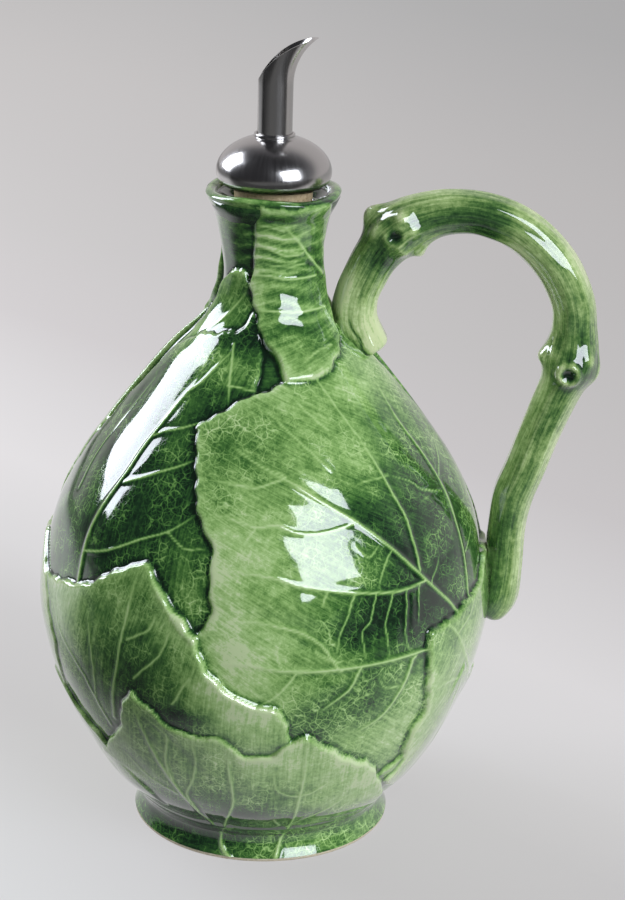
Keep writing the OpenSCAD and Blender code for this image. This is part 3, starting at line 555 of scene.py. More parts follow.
def buildSkin(part, material):
    name, low, high, cell = part
    pad = 14  # columns past each side, so that the blurs and normals agree where two parts meet
    columns = int(round((high - low) * math.pi / 180 * widest / cell))
    step = (high - low) / columns
    rows = profileRows()
    azimuth, z = np.meshgrid(low + step * np.arange(-pad, columns + pad + 1), rows[:, 5])
    s = np.broadcast_to(rows[:, 4:5], azimuth.shape).copy()
    flat, zFlat, sFlat = azimuth.ravel(), z.ravel(), s.ravel()
    # The bed that the leaves lie on, then the leaves and the stems on the foot
    bed = smooth(*skinGrid["bedFoot"], zFlat) * (1 - smooth(*skinGrid["bedNeck"], zFlat))
    state = {"height": -skinGrid["bed"] * bed,
             "glaze": skinGrid["bedGlaze"] - 0.1 * smooth(150, 165, zFlat) - 0.1 * smooth(178, 187, zFlat),
             "net": 0.8 * (1 - smooth(10, 14, zFlat)), "vein": np.zeros(flat.size),
             "gap": np.full(flat.size, noGap), "brushX": flat * 1.1, "brushY": sFlat.copy()}
    layLeaves(flat, zFlat, sFlat, state)
    scale = np.pi / 180 * np.maximum(radiusAt(zFlat), skinGrid["least"])
    for turn in (0, 180):
        ridge, crest, _ = veinRidge(turned(flat, -90 + turn), sFlat, scale, stems, turn)
        state["height"] = state["height"] + 1.3 * ridge
        state["vein"] = np.maximum(state["vein"], crest)
    grids = {key: value.reshape(azimuth.shape) for key, value in state.items()}
    columnWidth = step * math.pi / 180 * np.maximum(rows[:, 0], skinGrid["least"])

    def soften(field, width):
        return blur(field, width / columnWidth, width / skinGrid["rowStep"])

    h = soften(grids["height"], skinGrid["softClay"])
    glaze = soften(grids["glaze"], skinGrid["softGlaze"])
    for width, amount, least, most in skinGrid["hollows"]:
        glaze = glaze + amount * np.clip(soften(h, width) - h, least, most)
    # A soft unevenness of the hand-pressed clay
    x, y = np.radians(azimuth) * widest, s
    h = h + 0.06 * np.sin(x / 7.3 + 1.4 * np.sin(y / 11)) * np.sin(y / 8.1 + 1.7 * np.sin(x / 13))
    degree = np.pi / 180 * np.maximum(rows[:, 0:1], skinGrid["least"])
    for back in (0, 180):
        for a0, z0, halfA, halfZ, pitch, tall, pale in crumples:
            da, ds, here = inPatch(azimuth, s, degree, (a0 + back, z0, halfA, halfZ), 1.5)
            wave = np.sin(2 * np.pi * ds / pitch + 1.1 * np.sin(da / 2.3) + 0.8 * np.sin(ds / 3.1 + da / 5))
            h = h + tall * wave * here
            glaze = glaze - pale * (np.maximum(wave, -0.75) ** 3 - 0.05) * here
        for a0, z0, halfA, halfZ, amount in pools:
            glaze = glaze + amount * inPatch(azimuth, s, degree, (a0 + back, z0, halfA, halfZ), 1.15)[2]
    gap = soften(grids["gap"], skinGrid["softGap"])
    for amount, width, power in skinGrid["creaseGlaze"]:
        glaze = glaze + amount * np.exp(-(gap / width) ** power)
    lipWave = outline["lipWave"] * np.sin(np.radians(3 * azimuth + 40)) * smooth(177.7, 187.1, rows[:, 1:2])
    r = rows[:, 0:1] + h * rows[:, 2:3]
    height = rows[:, 1:2] + h * rows[:, 3:4] + lipWave
    turn = np.radians(azimuth)
    points = np.stack([r * np.cos(turn), r * np.sin(turn), height], -1) * mm
    normals = np.cross(np.gradient(points, axis=1), np.gradient(points, axis=0))
    normals /= np.linalg.norm(normals, axis=-1, keepdims=True)
    brush = np.stack([grids["brushX"], grids["brushY"], np.zeros_like(h)], -1) * mm
    values = {"glaze": glaze, "net": grids["net"], "vein": soften(grids["vein"], skinGrid["softVein"]),
              "brush": brush}
    inside = slice(pad, pad + columns + 1)
    values = {key: value[:, inside] for key, value in values.items()}
    piece, row, column = gridPiece(points[:, inside], values)
    piece.data.normals_split_custom_set_from_vertices(normals[:, inside][row, column].tolist())
    finishPiece(piece, name, "jar", "jar", material)
    print("stage: skin", name, len(piece.data.polygons), "faces")


# Green lead-bright glaze, brushed on pale clay and fired: thin and yellow-green on every raised
# edge, deep bottle green where it ran together, glass-smooth over all
glazeLook = {
    # colours from the thinnest to the thickest glaze
    "skinStops": [(0.0, "#d9ecb2"), (0.1, "#bfe094"), (0.24, "#a1ca75"), (0.4, "#79a556"),
                  (0.54, "#50803b"), (0.68, "#36602d"), (0.84, "#1f4022"), (1.0, "#112717")],
    "twigStops": [(0.0, "#e0edb2"), (0.1, "#c9e09b"), (0.24, "#acc87e"), (0.4, "#83a45d"),
                  (0.54, "#588041"), (0.68, "#3b6031"), (0.84, "#223f23"), (1.0, "#112717")],
    # how much the streaks, patches, flecks and the net of veins add to the thickness
    "skinStrengths": (0.17, 0.28, 0.15, -0.5),
    "twigStrengths": (0.24, 0.26, 0.16, 0.0),
    # each of the first three as size in mm, detail, roughness and spread of its noise
    "streaks": (0.85, 3.0, 0.65, 0.14),    # brush marks, drawn out along the stroke
    "patches": (8.0, 5.0, 0.68, 0.18),     # where the glaze ran together
    "flecks": (1.4, 3.0, 0.75, 0.15),
    "strokeLength": 0.07,                  # width of a brush mark as a share of its length
    "netCell": 3.0,                        # mm across a cell of the fine veins
    "netWalls": [(1, 0.075, 1.0), (2.5, 0.13, 0.55)],  # cells to each of those, width and strength
    "netWarp": (1.4, 2.0),                 # mm that the cells are bent, and mm across a bend
    "netFade": 9,                          # mm across a place where the net shows
    "fadeSpan": (0.38, 0.58, 0.12, 1.0),   # noise from, to, and how much of the net shows there
    "filledSpan": (0.22, 0.5, 0.2, 1.0),   # the same over the thickness of the glaze
    "netRelief": 0.05, "streakRelief": 0.01, "bump": 0.3,
    "roughness": 0.03, "coatRoughness": 0.015,
    "ior": 1.52,
}


def makeGlaze(name, stops, strengths):
    material, tree, shader, place = newMaterial(name)
    look = glazeLook
    thick, netShare, vein = (addNode(tree, "Attribute", attribute_name=key).outputs["Fac"]
                             for key in ("glaze", "net", "vein"))
    brush = addNode(tree, "Attribute", attribute_name="brush").outputs["Vector"]
    stroke = addNode(tree, "Mapping", {"Vector": brush, "Scale": (look["strokeLength"], 1, 1)})
    uneven = []
    for key, vector in (("streaks", stroke), ("patches", place), ("flecks", place)):
        grain, detail, rough, spread = look[key]
        noise = addNode(tree, "TexNoise", {"Vector": vector, "Scale": 1 / (grain * mm), "Detail": detail,
                                           "Roughness": rough})
        uneven.append(addNode(tree, "MapRange", [noise, 0.5 - spread, 0.5 + spread, -0.5, 0.5]))
    # Fine net of veins: the walls between cells of two sizes, bent by a noise
    warp, warpSize = look["netWarp"]
    bend = addNode(tree, "TexNoise", {"Vector": place, "Scale": 1 / (warpSize * mm), "Detail": 1.0})
    bent = addNode(tree, "VectorMath", [bend.outputs["Color"], (warp * mm,) * 3, place],
                   operation="MULTIPLY_ADD")
    walls = []
    for count, width, strength in look["netWalls"]:
        cells = addNode(tree, "TexVoronoi", {"Vector": bent, "Scale": count / (look["netCell"] * mm)},
                        feature="DISTANCE_TO_EDGE")
        walls.append(addNode(tree, "MapRange", [cells, 0.0, width, strength, 0.0],
                             interpolation_type="SMOOTHSTEP"))
    walls = addNode(tree, "Math", walls, operation="MAXIMUM")
    # It fades in and out over the blade, and shows only where glaze has filled it
    fadeNoise = addNode(tree, "TexNoise", {"Vector": place, "Scale": 1 / (look["netFade"] * mm),
                                           "Detail": 3.0})
    net = walls
    for share in (addNode(tree, "MapRange", [fadeNoise, *look["fadeSpan"]]),
                  addNode(tree, "MapRange", [thick, *look["filledSpan"]]), netShare):
        net = addNode(tree, "Math", [net, share], operation="MULTIPLY")
    total = thick
    for layer, strength in zip(uneven + [net], strengths):
        total = addNode(tree, "Math", [layer, strength, total], operation="MULTIPLY_ADD")
    # Along a crest the glaze is thin, whatever lies beside it
    depth = addNode(tree, "MapRange", [vein, 0.0, 1.1, total, 0.0])
    # The net and the brush marks stand a little proud under the glaze
    relief = addNode(tree, "Math", [net, look["netRelief"]], operation="MULTIPLY")
    relief = addNode(tree, "Math", [uneven[0], look["streakRelief"], relief], operation="MULTIPLY_ADD")
    bump = addNode(tree, "Bump", {"Height": relief, "Strength": look["bump"], "Distance": mm})
    colour = setRamp(addNode(tree, "ValToRGB", [depth]), stops)
    setInputs(tree, shader, {"Base Color": colour, "Normal": bump, "Roughness": look["roughness"],
                             "IOR": look["ior"], "Coat Weight": 1.0, "Coat IOR": look["ior"],
                             "Coat Roughness": look["coatRoughness"]})
    return material


greenGlaze = makeGlaze("greenGlaze", glazeLook["skinStops"], glazeLook["skinStrengths"])
twigGlaze = makeGlaze("twigGlaze", glazeLook["twigStops"], glazeLook["twigStrengths"])

# Bare fired clay under the foot, where the glaze was wiped off: dull, cream, faintly sandy
bareClay, tree, shader, place = newMaterial("bareClay")
grit = addNode(tree, "TexNoise", {"Vector": place, "Scale": 1 / (0.6 * mm), "Detail": 3.0})
gritBump = addNode(tree, "Bump", {"Height": grit, "Strength": 0.3, "Distance": 0.1 * mm})
cream = setRamp(addNode(tree, "ValToRGB", [grit]), [(0.3, "#c9bb9c"), (0.7, "#e4dac0")])
setInputs(tree, shader, {"Base Color": cream, "Roughness": 0.7, "Normal": gritBump})

# Stainless steel sheet and tube, brushed and polished to a soft shine: fine lines run up the tube
# and over the dome, so their noise changes with the turn about the axis and hardly with height
brushedSteel, tree, shader, place = newMaterial("brushedSteel")
level = addNode(tree, "VectorMath", [place, (1, 1, 0)], operation="MULTIPLY")
around = addNode(tree, "VectorMath", [level], operation="NORMALIZE")
rise = addNode(tree, "VectorMath", [place, (0, 0, 0.05)], operation="MULTIPLY")
upright = addNode(tree, "VectorMath", [around, (12 * mm,) * 3, rise], operation="MULTIPLY_ADD")
lines = addNode(tree, "TexNoise", {"Vector": upright, "Scale": 1 / (0.35 * mm), "Detail": 3.0})
lineBump = addNode(tree, "Bump", {"Height": lines, "Strength": 0.12, "Distance": 0.05 * mm})
setInputs(tree, shader, {"Base Color": toLinear("#c4c2c0"), "Metallic": 1.0, "Normal": lineBump,
                         "Roughness": addNode(tree, "MapRange", [lines, 0.3, 0.7, 0.15, 0.25])})

# Cork oak, ground and pressed: light brown grains of 1 to 2 mm with dark pores
pressedCork, tree, shader, place = newMaterial("pressedCork")
pores = addNode(tree, "TexNoise", {"Vector": place, "Scale": 1 / (1.1 * mm), "Detail": 4.0,
                                   "Roughness": 0.7})
brown = setRamp(addNode(tree, "ValToRGB", [pores]),
                [(0.3, "#9c8561"), (0.42, "#cdb48b"), (0.6, "#e0caa3"), (0.75, "#ebdab8")])
poreBump = addNode(tree, "Bump", {"Height": pores, "Strength": 0.5, "Distance": 0.3 * mm})
setInputs(tree, shader, {"Base Color": brown, "Roughness": 0.75, "Normal": poreBump})
print("stage: materials")

# The jar's skin
for part in skinGrid["parts"]:
    buildSkin(part, greenGlaze)


def closeShell():
    # In edit mode: points that fall together are welded, and the faces are turned outwards
    bpy.ops.mesh.select_all(action="SELECT")
    bpy.ops.mesh.remove_doubles(threshold=0.002 * mm)
    bpy.ops.mesh.normals_make_consistent(inside=False)
    bpy.ops.object.mode_set(mode="OBJECT")


def spinProfile(points):
    # A profile of (radius, height) in mm turned once round the Z axis, with its seam welded
    piece = addPrimitive(bpy.ops.mesh.primitive_plane_add, size=1)
    bpy.ops.object.mode_set(mode="EDIT")
    bpy.ops.mesh.select_all(action="SELECT")
    bpy.ops.mesh.delete(type="VERT")
    bpy.ops.object.mode_set(mode="OBJECT")
    piece.data.from_pydata([(r * mm, 0, z * mm) for r, z in points],
                           [(i, i + 1) for i in range(len(points) - 1)], [])
    bpy.ops.object.mode_set(mode="EDIT")
    bpy.ops.mesh.select_all(action="SELECT")
    bpy.ops.mesh.spin(steps=128, angle=2 * math.pi, center=(0, 0, 0), axis=(0, 0, 1))
    closeShell()
    piece.data.shade_smooth()
    return piece


# Lining, foot ring and recess of the jar, all as one closed shell under the skin
lining = {
    "hollow": [(0, 9), (28, 9.2), (34, 14.8), (40.5, 21.5), (46.5, 30.5), (51.5, 41.5), (55, 51),
               (57.5, 60), (58.9, 70.9), (57.2, 84), (53.6, 97), (47, 109.5), (39.4, 120.3), (31, 131.3),
               (23.4, 140.2), (16.2, 147.6), (11.5, 155), (10.1, 160), (10.3, 170), (10.75, 180.5),
               (10.9, 183), (13.4, 186), (15.3, 187.6)],
    "outside": [(18.5, 187.2), (17, 184), (14.4, 179), (12.9, 172), (13.1, 164), (15, 157), (19, 150),
                (26, 142), (34, 133), (42.5, 122), (50, 111), (56.8, 98), (60.5, 85), (62.2, 71), (60.4, 57),
                (56.2, 44), (50.4, 31), (43.5, 19.8), (35.8, 10), (35.2, 6), (37.3, 1.4), (37.5, 0.5),
                (37.1, 0.05)],
    "foot": [(32.2, 0), (32, 0.2), (32, 3), (0, 3)],
    "bareBelow": 3.4,      # faces with their middle below this height are bare clay
    "glaze": 0.8,
}
shell = spinProfile(lining["hollow"] + lining["outside"] + lining["foot"])
finishPiece(shell, "lining", "jar", "jar", twigGlaze)
shell.data.materials.append(bareClay)
thickness = shell.data.attributes.new("glaze", "FLOAT", "POINT")
thickness.data.foreach_set("value", [lining["glaze"]] * len(shell.data.vertices))
for face in shell.data.polygons:
    if face.center.z < lining["bareBelow"] * mm:
        face.material_index = 1
print("stage: lining")

# Twig handle
twig = {
    # share of the jar's height, way out from the outline in mm, radius in mm
    "stations": [(0.752, -1.5, 6.7), (0.804, 3.2, 6.6), (0.844, 7.6, 6.1), (0.873, 10.8, 6.1),
                 (0.908, 14.6, 6.4), (0.946, 19.7, 7.8), (0.972, 28.1, 6.6), (0.9775, 37.3, 6.1),
                 (0.970, 45.4, 6.2), (0.955, 52.9, 6.2), (0.929, 59.9, 6.2), (0.894, 65.3, 6.2),
                 (0.848, 67.9, 6.1), (0.812, 65.3, 6.3), (0.780, 59.9, 7.3), (0.751, 54, 8.1),
                 (0.722, 47.8, 6.45), (0.679, 38.3, 6.0), (0.640, 30.2, 5.8), (0.586, 20, 5.8),
                 (0.543, 12.7, 5.8), (0.492, 7.6, 5.4), (0.423, 4.3, 5.5), (0.376, 1.9, 6.1),
                 (0.342, -1.2, 4.4)],
    "over": 2.0,           # how far its arch stands above the lip
    "thick": 12.4,         # thickness of the arch at its top
    "arch": (0.8, 0.9775),  # to reach that, it is raised between these shares of the jar's height
    "sides": 96,
    "ringStep": 0.5,
    "cap": 3.2,            # way along the twig over which each end rounds off
    # knots: station, buds as (turn round the twig, shift along it, height, width), scar as
    # (turn, shift, radius and height of its ring, depth)
    "knots": [
        {"at": 5, "buds": [(5, -2.5, 2.6, 3), (178, 2, 2.2, 4), (-66, 3.4, 1.4, 2.4), (-50, -3.6, 0.9, 2.8),
                           (-125, -2.6, 0.9, 2.6), (-96, 4.4, 0.8, 2.0)],
         "scar": (-88, -0.6, 2.4, 0.45, 0.7)},
        {"at": 15, "buds": [(0, 0.5, 0.55, 3.2), (180, -2.2, 1.4, 4.2), (-50, -4, 0.7, 2.6),
                            (-130, -4, 0.7, 2.4)],
         "scar": (-92, 0.4, 2.5, 1.1, 0.9)},
    ],
    # how thick the glaze lies, at each station
    "glaze": [0.0, -0.02, 0.02, 0.16, 0.5, 0.44, 0.3, 0.58, 0.58, 0.14, 0.14, 0.12, 0.24, 0.42, 0.54, 0.46,
              0.34, 0.26, 0.22, 0.28, 0.34, 0.36, 0.38, 0.32, 0.26],
    "paintedEdgeSheen": 0.38,      # painted reflection: how much paler it is on the outer and inner edge of the bend, and darker on its front and back
    # a drying crack at the neck end: way along the twig in mm, turn round it
    "crack": [(0, -97), (4, -87), (7, -94), (10.5, -83), (14, -80)],
    "crackDepth": 0.3,
}


def twigLine():
    top = twig["arch"][1]
    lift = jarHeight + twig["over"] - twig["thick"] / 2 - top * jarHeight
    share, out, radius = np.array(twig["stations"]).T
    return np.column_stack([radiusAt(share * jarHeight) + out,
                            share * jarHeight + lift * smooth(*twig["arch"], share), radius])


def buildTwig(material):
    perSpan = 24
    rough = twigLine()
    fineLine = curvePoints(rough, perSpan, 0.5)
    xz = fineLine[:, :2]
    length = np.concatenate([[0], np.cumsum(np.hypot(*np.diff(xz, axis=0).T))])
    stationAt = length[::perSpan][:len(rough)]
    u = np.linspace(0, length[-1], int(length[-1] / twig["ringStep"]))
    # The middle line, evened out over seven rings
    centre = [np.pad(np.interp(u, length, xz[:, i]), 3, mode="edge") for i in (0, 1)]
    centre = np.column_stack([np.convolve(line, np.ones(7) / 7, "valid") for line in centre])
    radius = np.interp(u, length, fineLine[:, 2])
    tangent = np.gradient(centre, axis=0)
    tangent /= np.linalg.norm(tangent, axis=1, keepdims=True)
    outward = np.column_stack([-tangent[:, 1], tangent[:, 0]])
    fromEnd = np.minimum(u, length[-1] - u)
    shrink = np.sqrt(np.clip(1 - (1 - np.clip(fromEnd / twig["cap"], 0, 1)) ** 2, 0.0004, 1))
    theta = np.linspace(0, 2 * math.pi, twig["sides"], endpoint=False)
    uu, tt = np.meshgrid(u, theta, indexing="ij")
    rr = radius[:, None] * np.ones_like(tt)
    # Bark: three sets of ridges that wander along the twig
    relief = rr * (0.022 * np.cos(3 * tt + 0.03 * uu + 0.6) + 0.016 * np.cos(7 * tt + 0.9 * np.sin(uu / 17))
                   + 0.010 * np.cos(13 * tt + 1.2 * np.sin(uu / 9)) * (0.6 + 0.4 * np.sin(uu / 5.5)))
    pale = np.zeros_like(rr)

    def awayFrom(turn, along, stretch=1.0):
        around = (np.degrees(tt) - turn + 180) % 360 - 180
        return np.hypot(np.radians(around) * rr, (uu - along) * stretch)

    # A bud swells and lies paler; a scar is a ring on a low mound, with a dark pit inside it
    for knot in twig["knots"]:
        at = stationAt[knot["at"]]
        for turn, shift, tall, wide in knot["buds"]:
            d = awayFrom(turn, at + shift)
            relief = relief + tall * np.exp(-(d / wide) ** 2 * 1.3)
            pale = pale + 0.16 * np.exp(-(d / (0.6 * wide)) ** 2)
        turn, shift, ring, rise, depth = knot["scar"]
        d = awayFrom(turn, at + shift, 0.9)
        pit = depth * np.exp(-(d / (0.55 * ring)) ** 2)
        relief = relief + 0.7 * np.exp(-(d / (2 * ring)) ** 2) - pit
        relief = relief + rise * np.exp(-((d - ring) / 0.85) ** 2)
        pale = pale + 0.14 * rise * np.exp(-((d - ring) / 0.7) ** 2) - 0.21 * pit
    crackTurn = 2 * math.pi + np.radians(np.interp(uu, *zip(*twig["crack"])))
    crack = np.exp(-((tt - crackTurn) * rr / 0.4) ** 2) * (1 - smooth(11, 15, uu))
    relief = relief - twig["crackDepth"] * crack
    full = (rr + relief) * shrink[:, None]
    x = centre[:, 0:1] + outward[:, 0:1] * full * np.cos(tt)
    y = full * np.sin(tt)
    z = centre[:, 1:2] + outward[:, 1:2] * full * np.cos(tt)
    # Glaze: thin on what stands out, thick in the hollows and where the twig meets the jar
    hollow = blur(relief, np.full(len(u), 2.5), 4.0) - relief
    washAndSheen = np.interp(uu, stationAt, twig["glaze"]) + 0.05 * np.sin(uu / 6.5 + 2 * np.cos(tt))
    sway = tt + 0.25 * np.sin(uu / 23)
    # Painted reflection: paler along the outer and inner edge of the bend, darker down its front and back
    washAndSheen = washAndSheen + twig["paintedEdgeSheen"] * (0.5 - np.cos(sway) ** 2) * smooth(4, 20, uu)
    gap = np.clip(np.hypot(x, y) - radiusAt(z), 0, 50)
    glaze = washAndSheen - pale + 0.35 * crack + 0.55 * np.clip(hollow, -0.5, 0.7) + 0.4 * np.exp(-gap / 1.6)
    brush = np.stack([uu, tt * 6.2, np.zeros_like(uu)], -1) * mm
    # The grid's last column falls on its first, where it is welded; then both ends are closed
    ring = np.append(np.arange(twig["sides"]), 0)
    values = {"glaze": glaze[:, ring], "brush": brush[:, ring]}
    piece = gridPiece(np.stack([x, y, z], -1)[:, ring] * mm, values)[0]
    bpy.ops.object.mode_set(mode="EDIT")
    closeShell()
    bpy.ops.object.mode_set(mode="EDIT")
    bpy.ops.mesh.select_mode(type="VERT")
    bpy.ops.mesh.select_all(action="DESELECT")
    bpy.ops.mesh.select_non_manifold()
    bpy.ops.mesh.extrude_region_move()
    bpy.ops.mesh.merge(type="COLLAPSE")
    bpy.ops.mesh.select_all(action="SELECT")
    bpy.ops.mesh.normals_make_consistent(inside=False)
    bpy.ops.object.mode_set(mode="OBJECT")
    piece.data.shade_smooth()
    finishPiece(piece, "twig_handle", "jar", "jar", material)
    print("stage: twig", len(piece.data.polygons), "faces")


buildTwig(twigGlaze)

# Stopper: the dome, pressed from sheet, with its lower edge rolled in and a collar round the tube
dome = {
    "seat": 191, "height": 13, "radius": 16,
    "widest": 193.8,       # height of its widest ring
    "edge": 3.6, "drop": 4.0,  # radius of the rolled edge, across and down
    "hole": 4.9,
    "crownEnd": 5.58,      # radius at which the crown meets the collar
    "sheet": 0.8,
    "recess": 11.4,
    "steps": 14,
    # radius, and height over the crown
    "collar": [(5.45, 0.25), (5.5, 0.5), (5.68, 0.75), (5.6, 1.05), (5.3, 1.2), (4.9, 1.2)],
}


def domeSide(inset):
    # From the lowest point of the rolled edge, out to the widest ring and up to the collar
    across, down = dome["edge"] - inset, dome["drop"] - inset
    middle = dome["radius"] - dome["edge"]
    edge = [(middle + across * math.sin(t), dome["widest"] - down * math.cos(t))
            for t in np.linspace(0, math.pi / 2, dome["steps"])]
    rise = dome["seat"] + dome["height"] - dome["widest"] - inset
    end = math.acos(dome["crownEnd"] / dome["radius"])
    crown = [((dome["radius"] - inset) * math.cos(t), dome["widest"] + rise * math.sin(t))
             for t in np.linspace(0, end, 2 * dome["steps"])[1:]]
    return edge + crown


outer, inner = domeSide(0), domeSide(dome["sheet"])
collar = [(r, outer[-1][1] + h) for r, h in dome["collar"]]
hole, seat, recess = dome["hole"], dome["seat"], dome["recess"]
plate = [(hole, seat), (recess, seat), (recess + 0.1, seat - 0.7)]
plateTop = [(recess + 0.7, seat + dome["sheet"]), (hole, seat + dome["sheet"])]
domePiece = spinProfile(plate + outer + collar + inner[::-1] + plateTop + plate[:1])
finishPiece(domePiece, "dome_steel", "stopper", "dome_cap", brushedSteel)
print("stage: dome")

spout = {
    "low": 161, "bendAt": 218, "radius": 4.85, "wall": 0.5,
    "bendRadius": 16, "turn": 66,
    "cutFrom": 219,        # the mouth is cut along an arc that starts at this height on its left side
    "cutRadius": 22, "cutLean": 26.5,
    "sharp": 35,           # an edge with a larger angle than this stays sharp
}


def buildSpout():
    axis = spout["bendRadius"] + spout["radius"]
    tube = addPrimitive(bpy.ops.mesh.primitive_circle_add, vertices=96, radius=spout["radius"] * mm,
                        location=(0, 0, spout["low"] * mm))
    bpy.ops.object.transform_apply(location=True, rotation=True, scale=True)
    bpy.ops.object.mode_set(mode="EDIT")
    bpy.ops.mesh.select_all(action="SELECT")
    straight = (0, 0, (spout["bendAt"] - spout["low"]) * mm)
    bpy.ops.mesh.extrude_region_move(TRANSFORM_OT_translate={"value": straight})
    bpy.ops.mesh.spin(steps=40, angle=math.radians(spout["turn"]), axis=(0, -1, 0),
                      center=(axis * mm, 0, spout["bendAt"] * mm))
    closeShell()
    wall = tube.modifiers.new("wall", "SOLIDIFY")
    wall.thickness, wall.offset = spout["wall"] * mm, -1
    bpy.ops.object.modifier_apply(modifier="wall")
    # A drum as wide as the cut keeps what lies inside it, from within the dome up to the mouth
    lean = math.radians(spout["cutLean"])
    cutX = spout["cutRadius"] * math.cos(lean) - spout["radius"]
    cutZ = spout["cutFrom"] - spout["cutRadius"] * math.sin(lean)
    drum = addPrimitive(bpy.ops.mesh.primitive_cylinder_add, vertices=256, radius=spout["cutRadius"] * mm,
                        depth=30 * mm, location=(cutX * mm, 0, cutZ * mm), rotation=(math.pi / 2, 0, 0))
    tube.select_set(True)
    bpy.context.view_layer.objects.active = tube
    cut = tube.modifiers.new("cut", "BOOLEAN")
    cut.operation, cut.object, cut.solver = "INTERSECT", drum, "EXACT"
    bpy.ops.object.modifier_apply(modifier="cut")
    bpy.data.objects.remove(drum)
    bpy.ops.object.shade_smooth_by_angle(angle=math.radians(spout["sharp"]))
    finishPiece(tube, "spout_steel", "stopper", "pour_tube", brushedSteel)
    print("stage: spout", len(tube.data.polygons), "faces")


buildSpout()
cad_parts["cork"].data.materials.clear()
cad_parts["cork"].data.materials.append(pressedCork)

# Floor, room, lamps and camera
studio = {
    # painted light and shade of the paper, as tones along a slanting line, from the front left to the back
    # right
    "paintedPaperLight": [(0.0, "#d6d6d6"), (0.05, "#d8d8d8"), (0.08, "#d2d1d1"), (0.115, "#cdcbcb"), (0.156, "#d1cfcf"),
              (0.1875, "#dad8d8"), (0.236, "#e0dddd"), (0.29, "#d8d5d5"), (0.344, "#cfcbcb"),
              (0.4375, "#cac7c6"), (0.525, "#c8c5c4"), (0.675, "#c7c4c3"), (1.0, "#bebdbd")],
    "paperSpan": (-0.2, 1.4),  # in metres along that line, as all places on the floor below
    "slant": 0.85,
    "paintedSideLight": (-0.38, 0.23, 1.17, 0.97),  # painted light, lighter at the left: from, to, strength at both ends
    "frontShadeEnd": (-0.18, -0.03), "frontShadeTone": 0.09,   # painted shade in front of the jar, in place of a dark card, fades out over this
    "frontShadeCorner": 0.12,        # its left part bends away to the front, from there on
    "pastFrontShade": (-0.6, -0.42), "pastTone": 0.21,   # painted shade: past its front edge the floor is dim
    "leftShadeEnd": (-1.0, -0.5), "leftShadeTone": 0.3,    # painted shade: towards the left from here the floor is dark
    "glow": 0.75,              # share of its painted tone that glows in what is seen of the paper
    "room": [(0.0, "#363639"), (0.5, "#77767a"), (1.0, "#cbc7c8")],  # from the front to the back wall
    "roomSpan": (-0.75, 0.35),
    "roomStrength": 0.95,
    "ceiling": 0.6,            # how much darker the room gets upwards
    "leftSide": 0.7,           # and towards the left
    # softboxes: azimuth, elevation and distance from the middle of the jar, size, power
    "lamps": {"leftBox": (159, 31, 1.3, (0.64, 0.88), 14.5),
              "frontBox": (-49, 27, 1.3, (0.74, 0.86), 15.6)},
    "lampColour": "#eff4ff",
    "middle": (0, 0, 0.09),
}
studioPaper, tree, shader, place = newMaterial("studioPaper")
place = addNode(tree, "SeparateXYZ", [place]).outputs
slant = addNode(tree, "Math", [place["X"], studio["slant"], place["Y"]], operation="MULTIPLY_ADD")
along = addNode(tree, "MapRange", [slant, *studio["paperSpan"]])
# Painted light: the paper is lighter towards the left
paintedSideLight = addNode(tree, "MapRange", [place["X"], *studio["paintedSideLight"]], interpolation_type="SMOOTHSTEP")
# Painted shade on the paper in front of the jar, in place of a dark card, takes its glare off the front of
# the glaze; the eye doesn't see it
corner = studio["frontShadeCorner"]
corner = addNode(tree, "MapRange", [place["X"], -corner, 0.0, -corner, 0.0])
fromFront = addNode(tree, "Math", [corner, place["Y"]], operation="ADD")
paintedFrontShade = addNode(tree, "MapRange", [fromFront, *studio["frontShadeEnd"], studio["frontShadeTone"], 1.0],
               interpolation_type="SMOOTHSTEP")
# Painted shade: past the front edge the floor is dim
past = addNode(tree, "MapRange", [fromFront, *studio["pastFrontShade"], studio["pastTone"], 0.0])
# Painted shade: reflections see the floor darken towards the left
paintedLeftShade = addNode(tree, "MapRange", [place["X"], *studio["leftShadeEnd"], studio["leftShadeTone"], 1.0])
paths = addNode(tree, "LightPath").outputs
cover = addNode(tree, "Math", [paintedFrontShade, past], operation="MAXIMUM")
cover = addNode(tree, "Math", [cover, paintedLeftShade], operation="MULTIPLY")
cover = addNode(tree, "Math", [cover, paths["Is Camera Ray"]], operation="MAXIMUM")
strength = addNode(tree, "Math", [paintedSideLight, cover], operation="MULTIPLY")
# Painted light and shade of the paper, as its tones
paintedPaperLight = setRamp(addNode(tree, "ValToRGB", [along]), studio["paintedPaperLight"])
paintedPaperLight = addNode(tree, "VectorMath", {0: paintedPaperLight, "Scale": strength}, operation="SCALE")
# To the eye and in reflections the paper glows in its painted tone of light and shade, and the lamps light
# the rest of it
setInputs(tree, shader, {"Base Color": paintedPaperLight, "Roughness": 0.9, "Specular IOR Level": 0.1})
glow = addNode(tree, "Emission", {"Color": paintedPaperLight, "Strength": 1.0})
seen = addNode(tree, "Math", [paths["Is Camera Ray"], paths["Is Glossy Ray"]], operation="MAXIMUM")
seen = addNode(tree, "Math", [seen, paths["Is Transmission Ray"]], operation="MAXIMUM")
share = addNode(tree, "Math", [seen, studio["glow"]], operation="MULTIPLY")
setInputs(tree, tree.nodes["out"], [addNode(tree, "MixShader", [share, shader, glow])])
floor = addPrimitive(bpy.ops.mesh.primitive_plane_add, size=12, location=(0, 0, 0))
floor.name = "floor"
floor.data.materials.append(studioPaper)

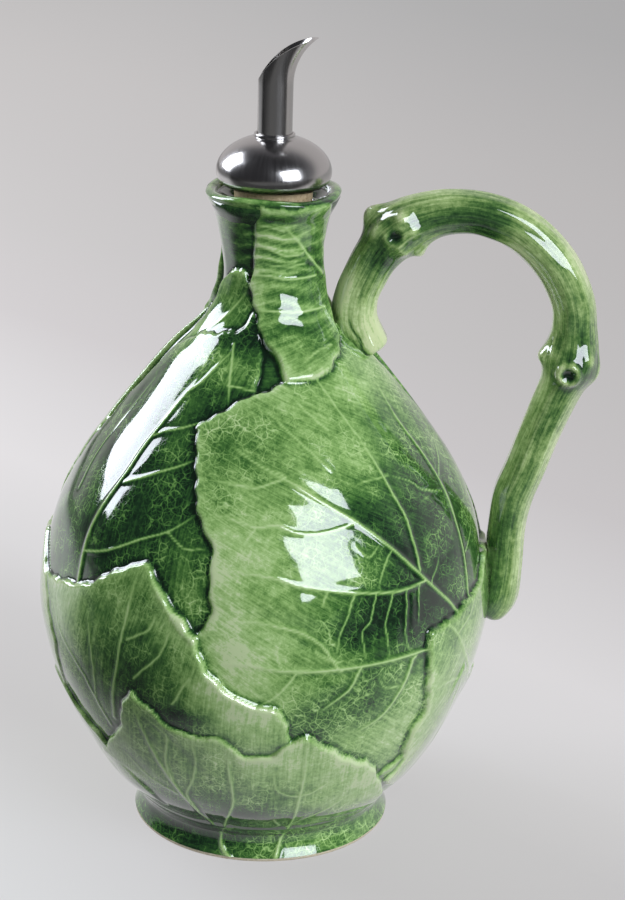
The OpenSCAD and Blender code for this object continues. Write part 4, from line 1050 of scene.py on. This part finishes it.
# A pale wall behind the jar, a darker room above it, in front and to the left. The eye sees the wall
# all round
world = bpy.data.worlds.new("room")
bpy.context.scene.world = world
world.use_nodes = True
tree = world.node_tree
way = addNode(tree, "SeparateXYZ", [addNode(tree, "TexCoord").outputs["Generated"]]).outputs
depth = addNode(tree, "Math", [way["Z"], -studio["ceiling"], way["Y"]], operation="MULTIPLY_ADD")
left = addNode(tree, "MapRange", [way["X"], -1.0, 0.0, -studio["leftSide"], 0.0])
depth = addNode(tree, "Math", [depth, left], operation="ADD")
front = addNode(tree, "MapRange", [depth, *studio["roomSpan"]], interpolation_type="SMOOTHSTEP")
roomTone = setRamp(addNode(tree, "ValToRGB", [front]), studio["room"])
room = addNode(tree, "Background", [roomTone, studio["roomStrength"]])
wall = addNode(tree, "Background", [toLinear(studio["room"][-1][1]), studio["roomStrength"]])
both = addNode(tree, "MixShader", [addNode(tree, "LightPath").outputs["Is Camera Ray"], room, wall])
setInputs(tree, tree.nodes["World Output"], [both])
tree.nodes.remove(tree.nodes["Background"])

middle = Vector(studio["middle"])
for name, (azimuth, elevation, distance, size, power) in studio["lamps"].items():
    light = bpy.data.lights.new(name, "AREA")
    light.shape = "RECTANGLE"
    light.size, light.size_y = size
    light.energy = power
    light.color = toLinear(studio["lampColour"])[:3]
    lamp = bpy.data.objects.new(name, light)
    bpy.context.scene.collection.objects.link(lamp)
    a, e = math.radians(azimuth), math.radians(elevation)
    toLamp = Vector((math.cos(a) * math.cos(e), math.sin(a) * math.cos(e), math.sin(e))) * distance
    lamp.location = middle + toLamp
    lamp.rotation_euler = (-toLamp).to_track_quat("-Z", "Y").to_euler()

# The camera, as fitted to the photograph's outline of the jar
view = {
    "focalLength": 2544.2, "frameHeight": 900,  # in the photograph's pixels
    "place": (0.05964067, -0.68169603, 0.3584),
    "right": (0.99662821, 0.07787715, 0.0258334),
    "up": (-0.05058933, 0.3353541, 0.94073288),
    "ahead": (-0.06459826, 0.93886782, -0.33816311),
}
camera = bpy.data.cameras.new("camera")
camera.sensor_width = 36
camera.lens = view["focalLength"] * camera.sensor_width / view["frameHeight"]
cameraObject = bpy.data.objects.new("camera", camera)
bpy.context.scene.collection.objects.link(cameraObject)
turn = Matrix((view["right"], view["up"], -Vector(view["ahead"]))).transposed().to_4x4()
cameraObject.matrix_world = Matrix.Translation(view["place"]) @ turn
bpy.context.scene.camera = cameraObject
bpy.context.scene.view_settings.view_transform = "Standard"

print("stage: scene ready")
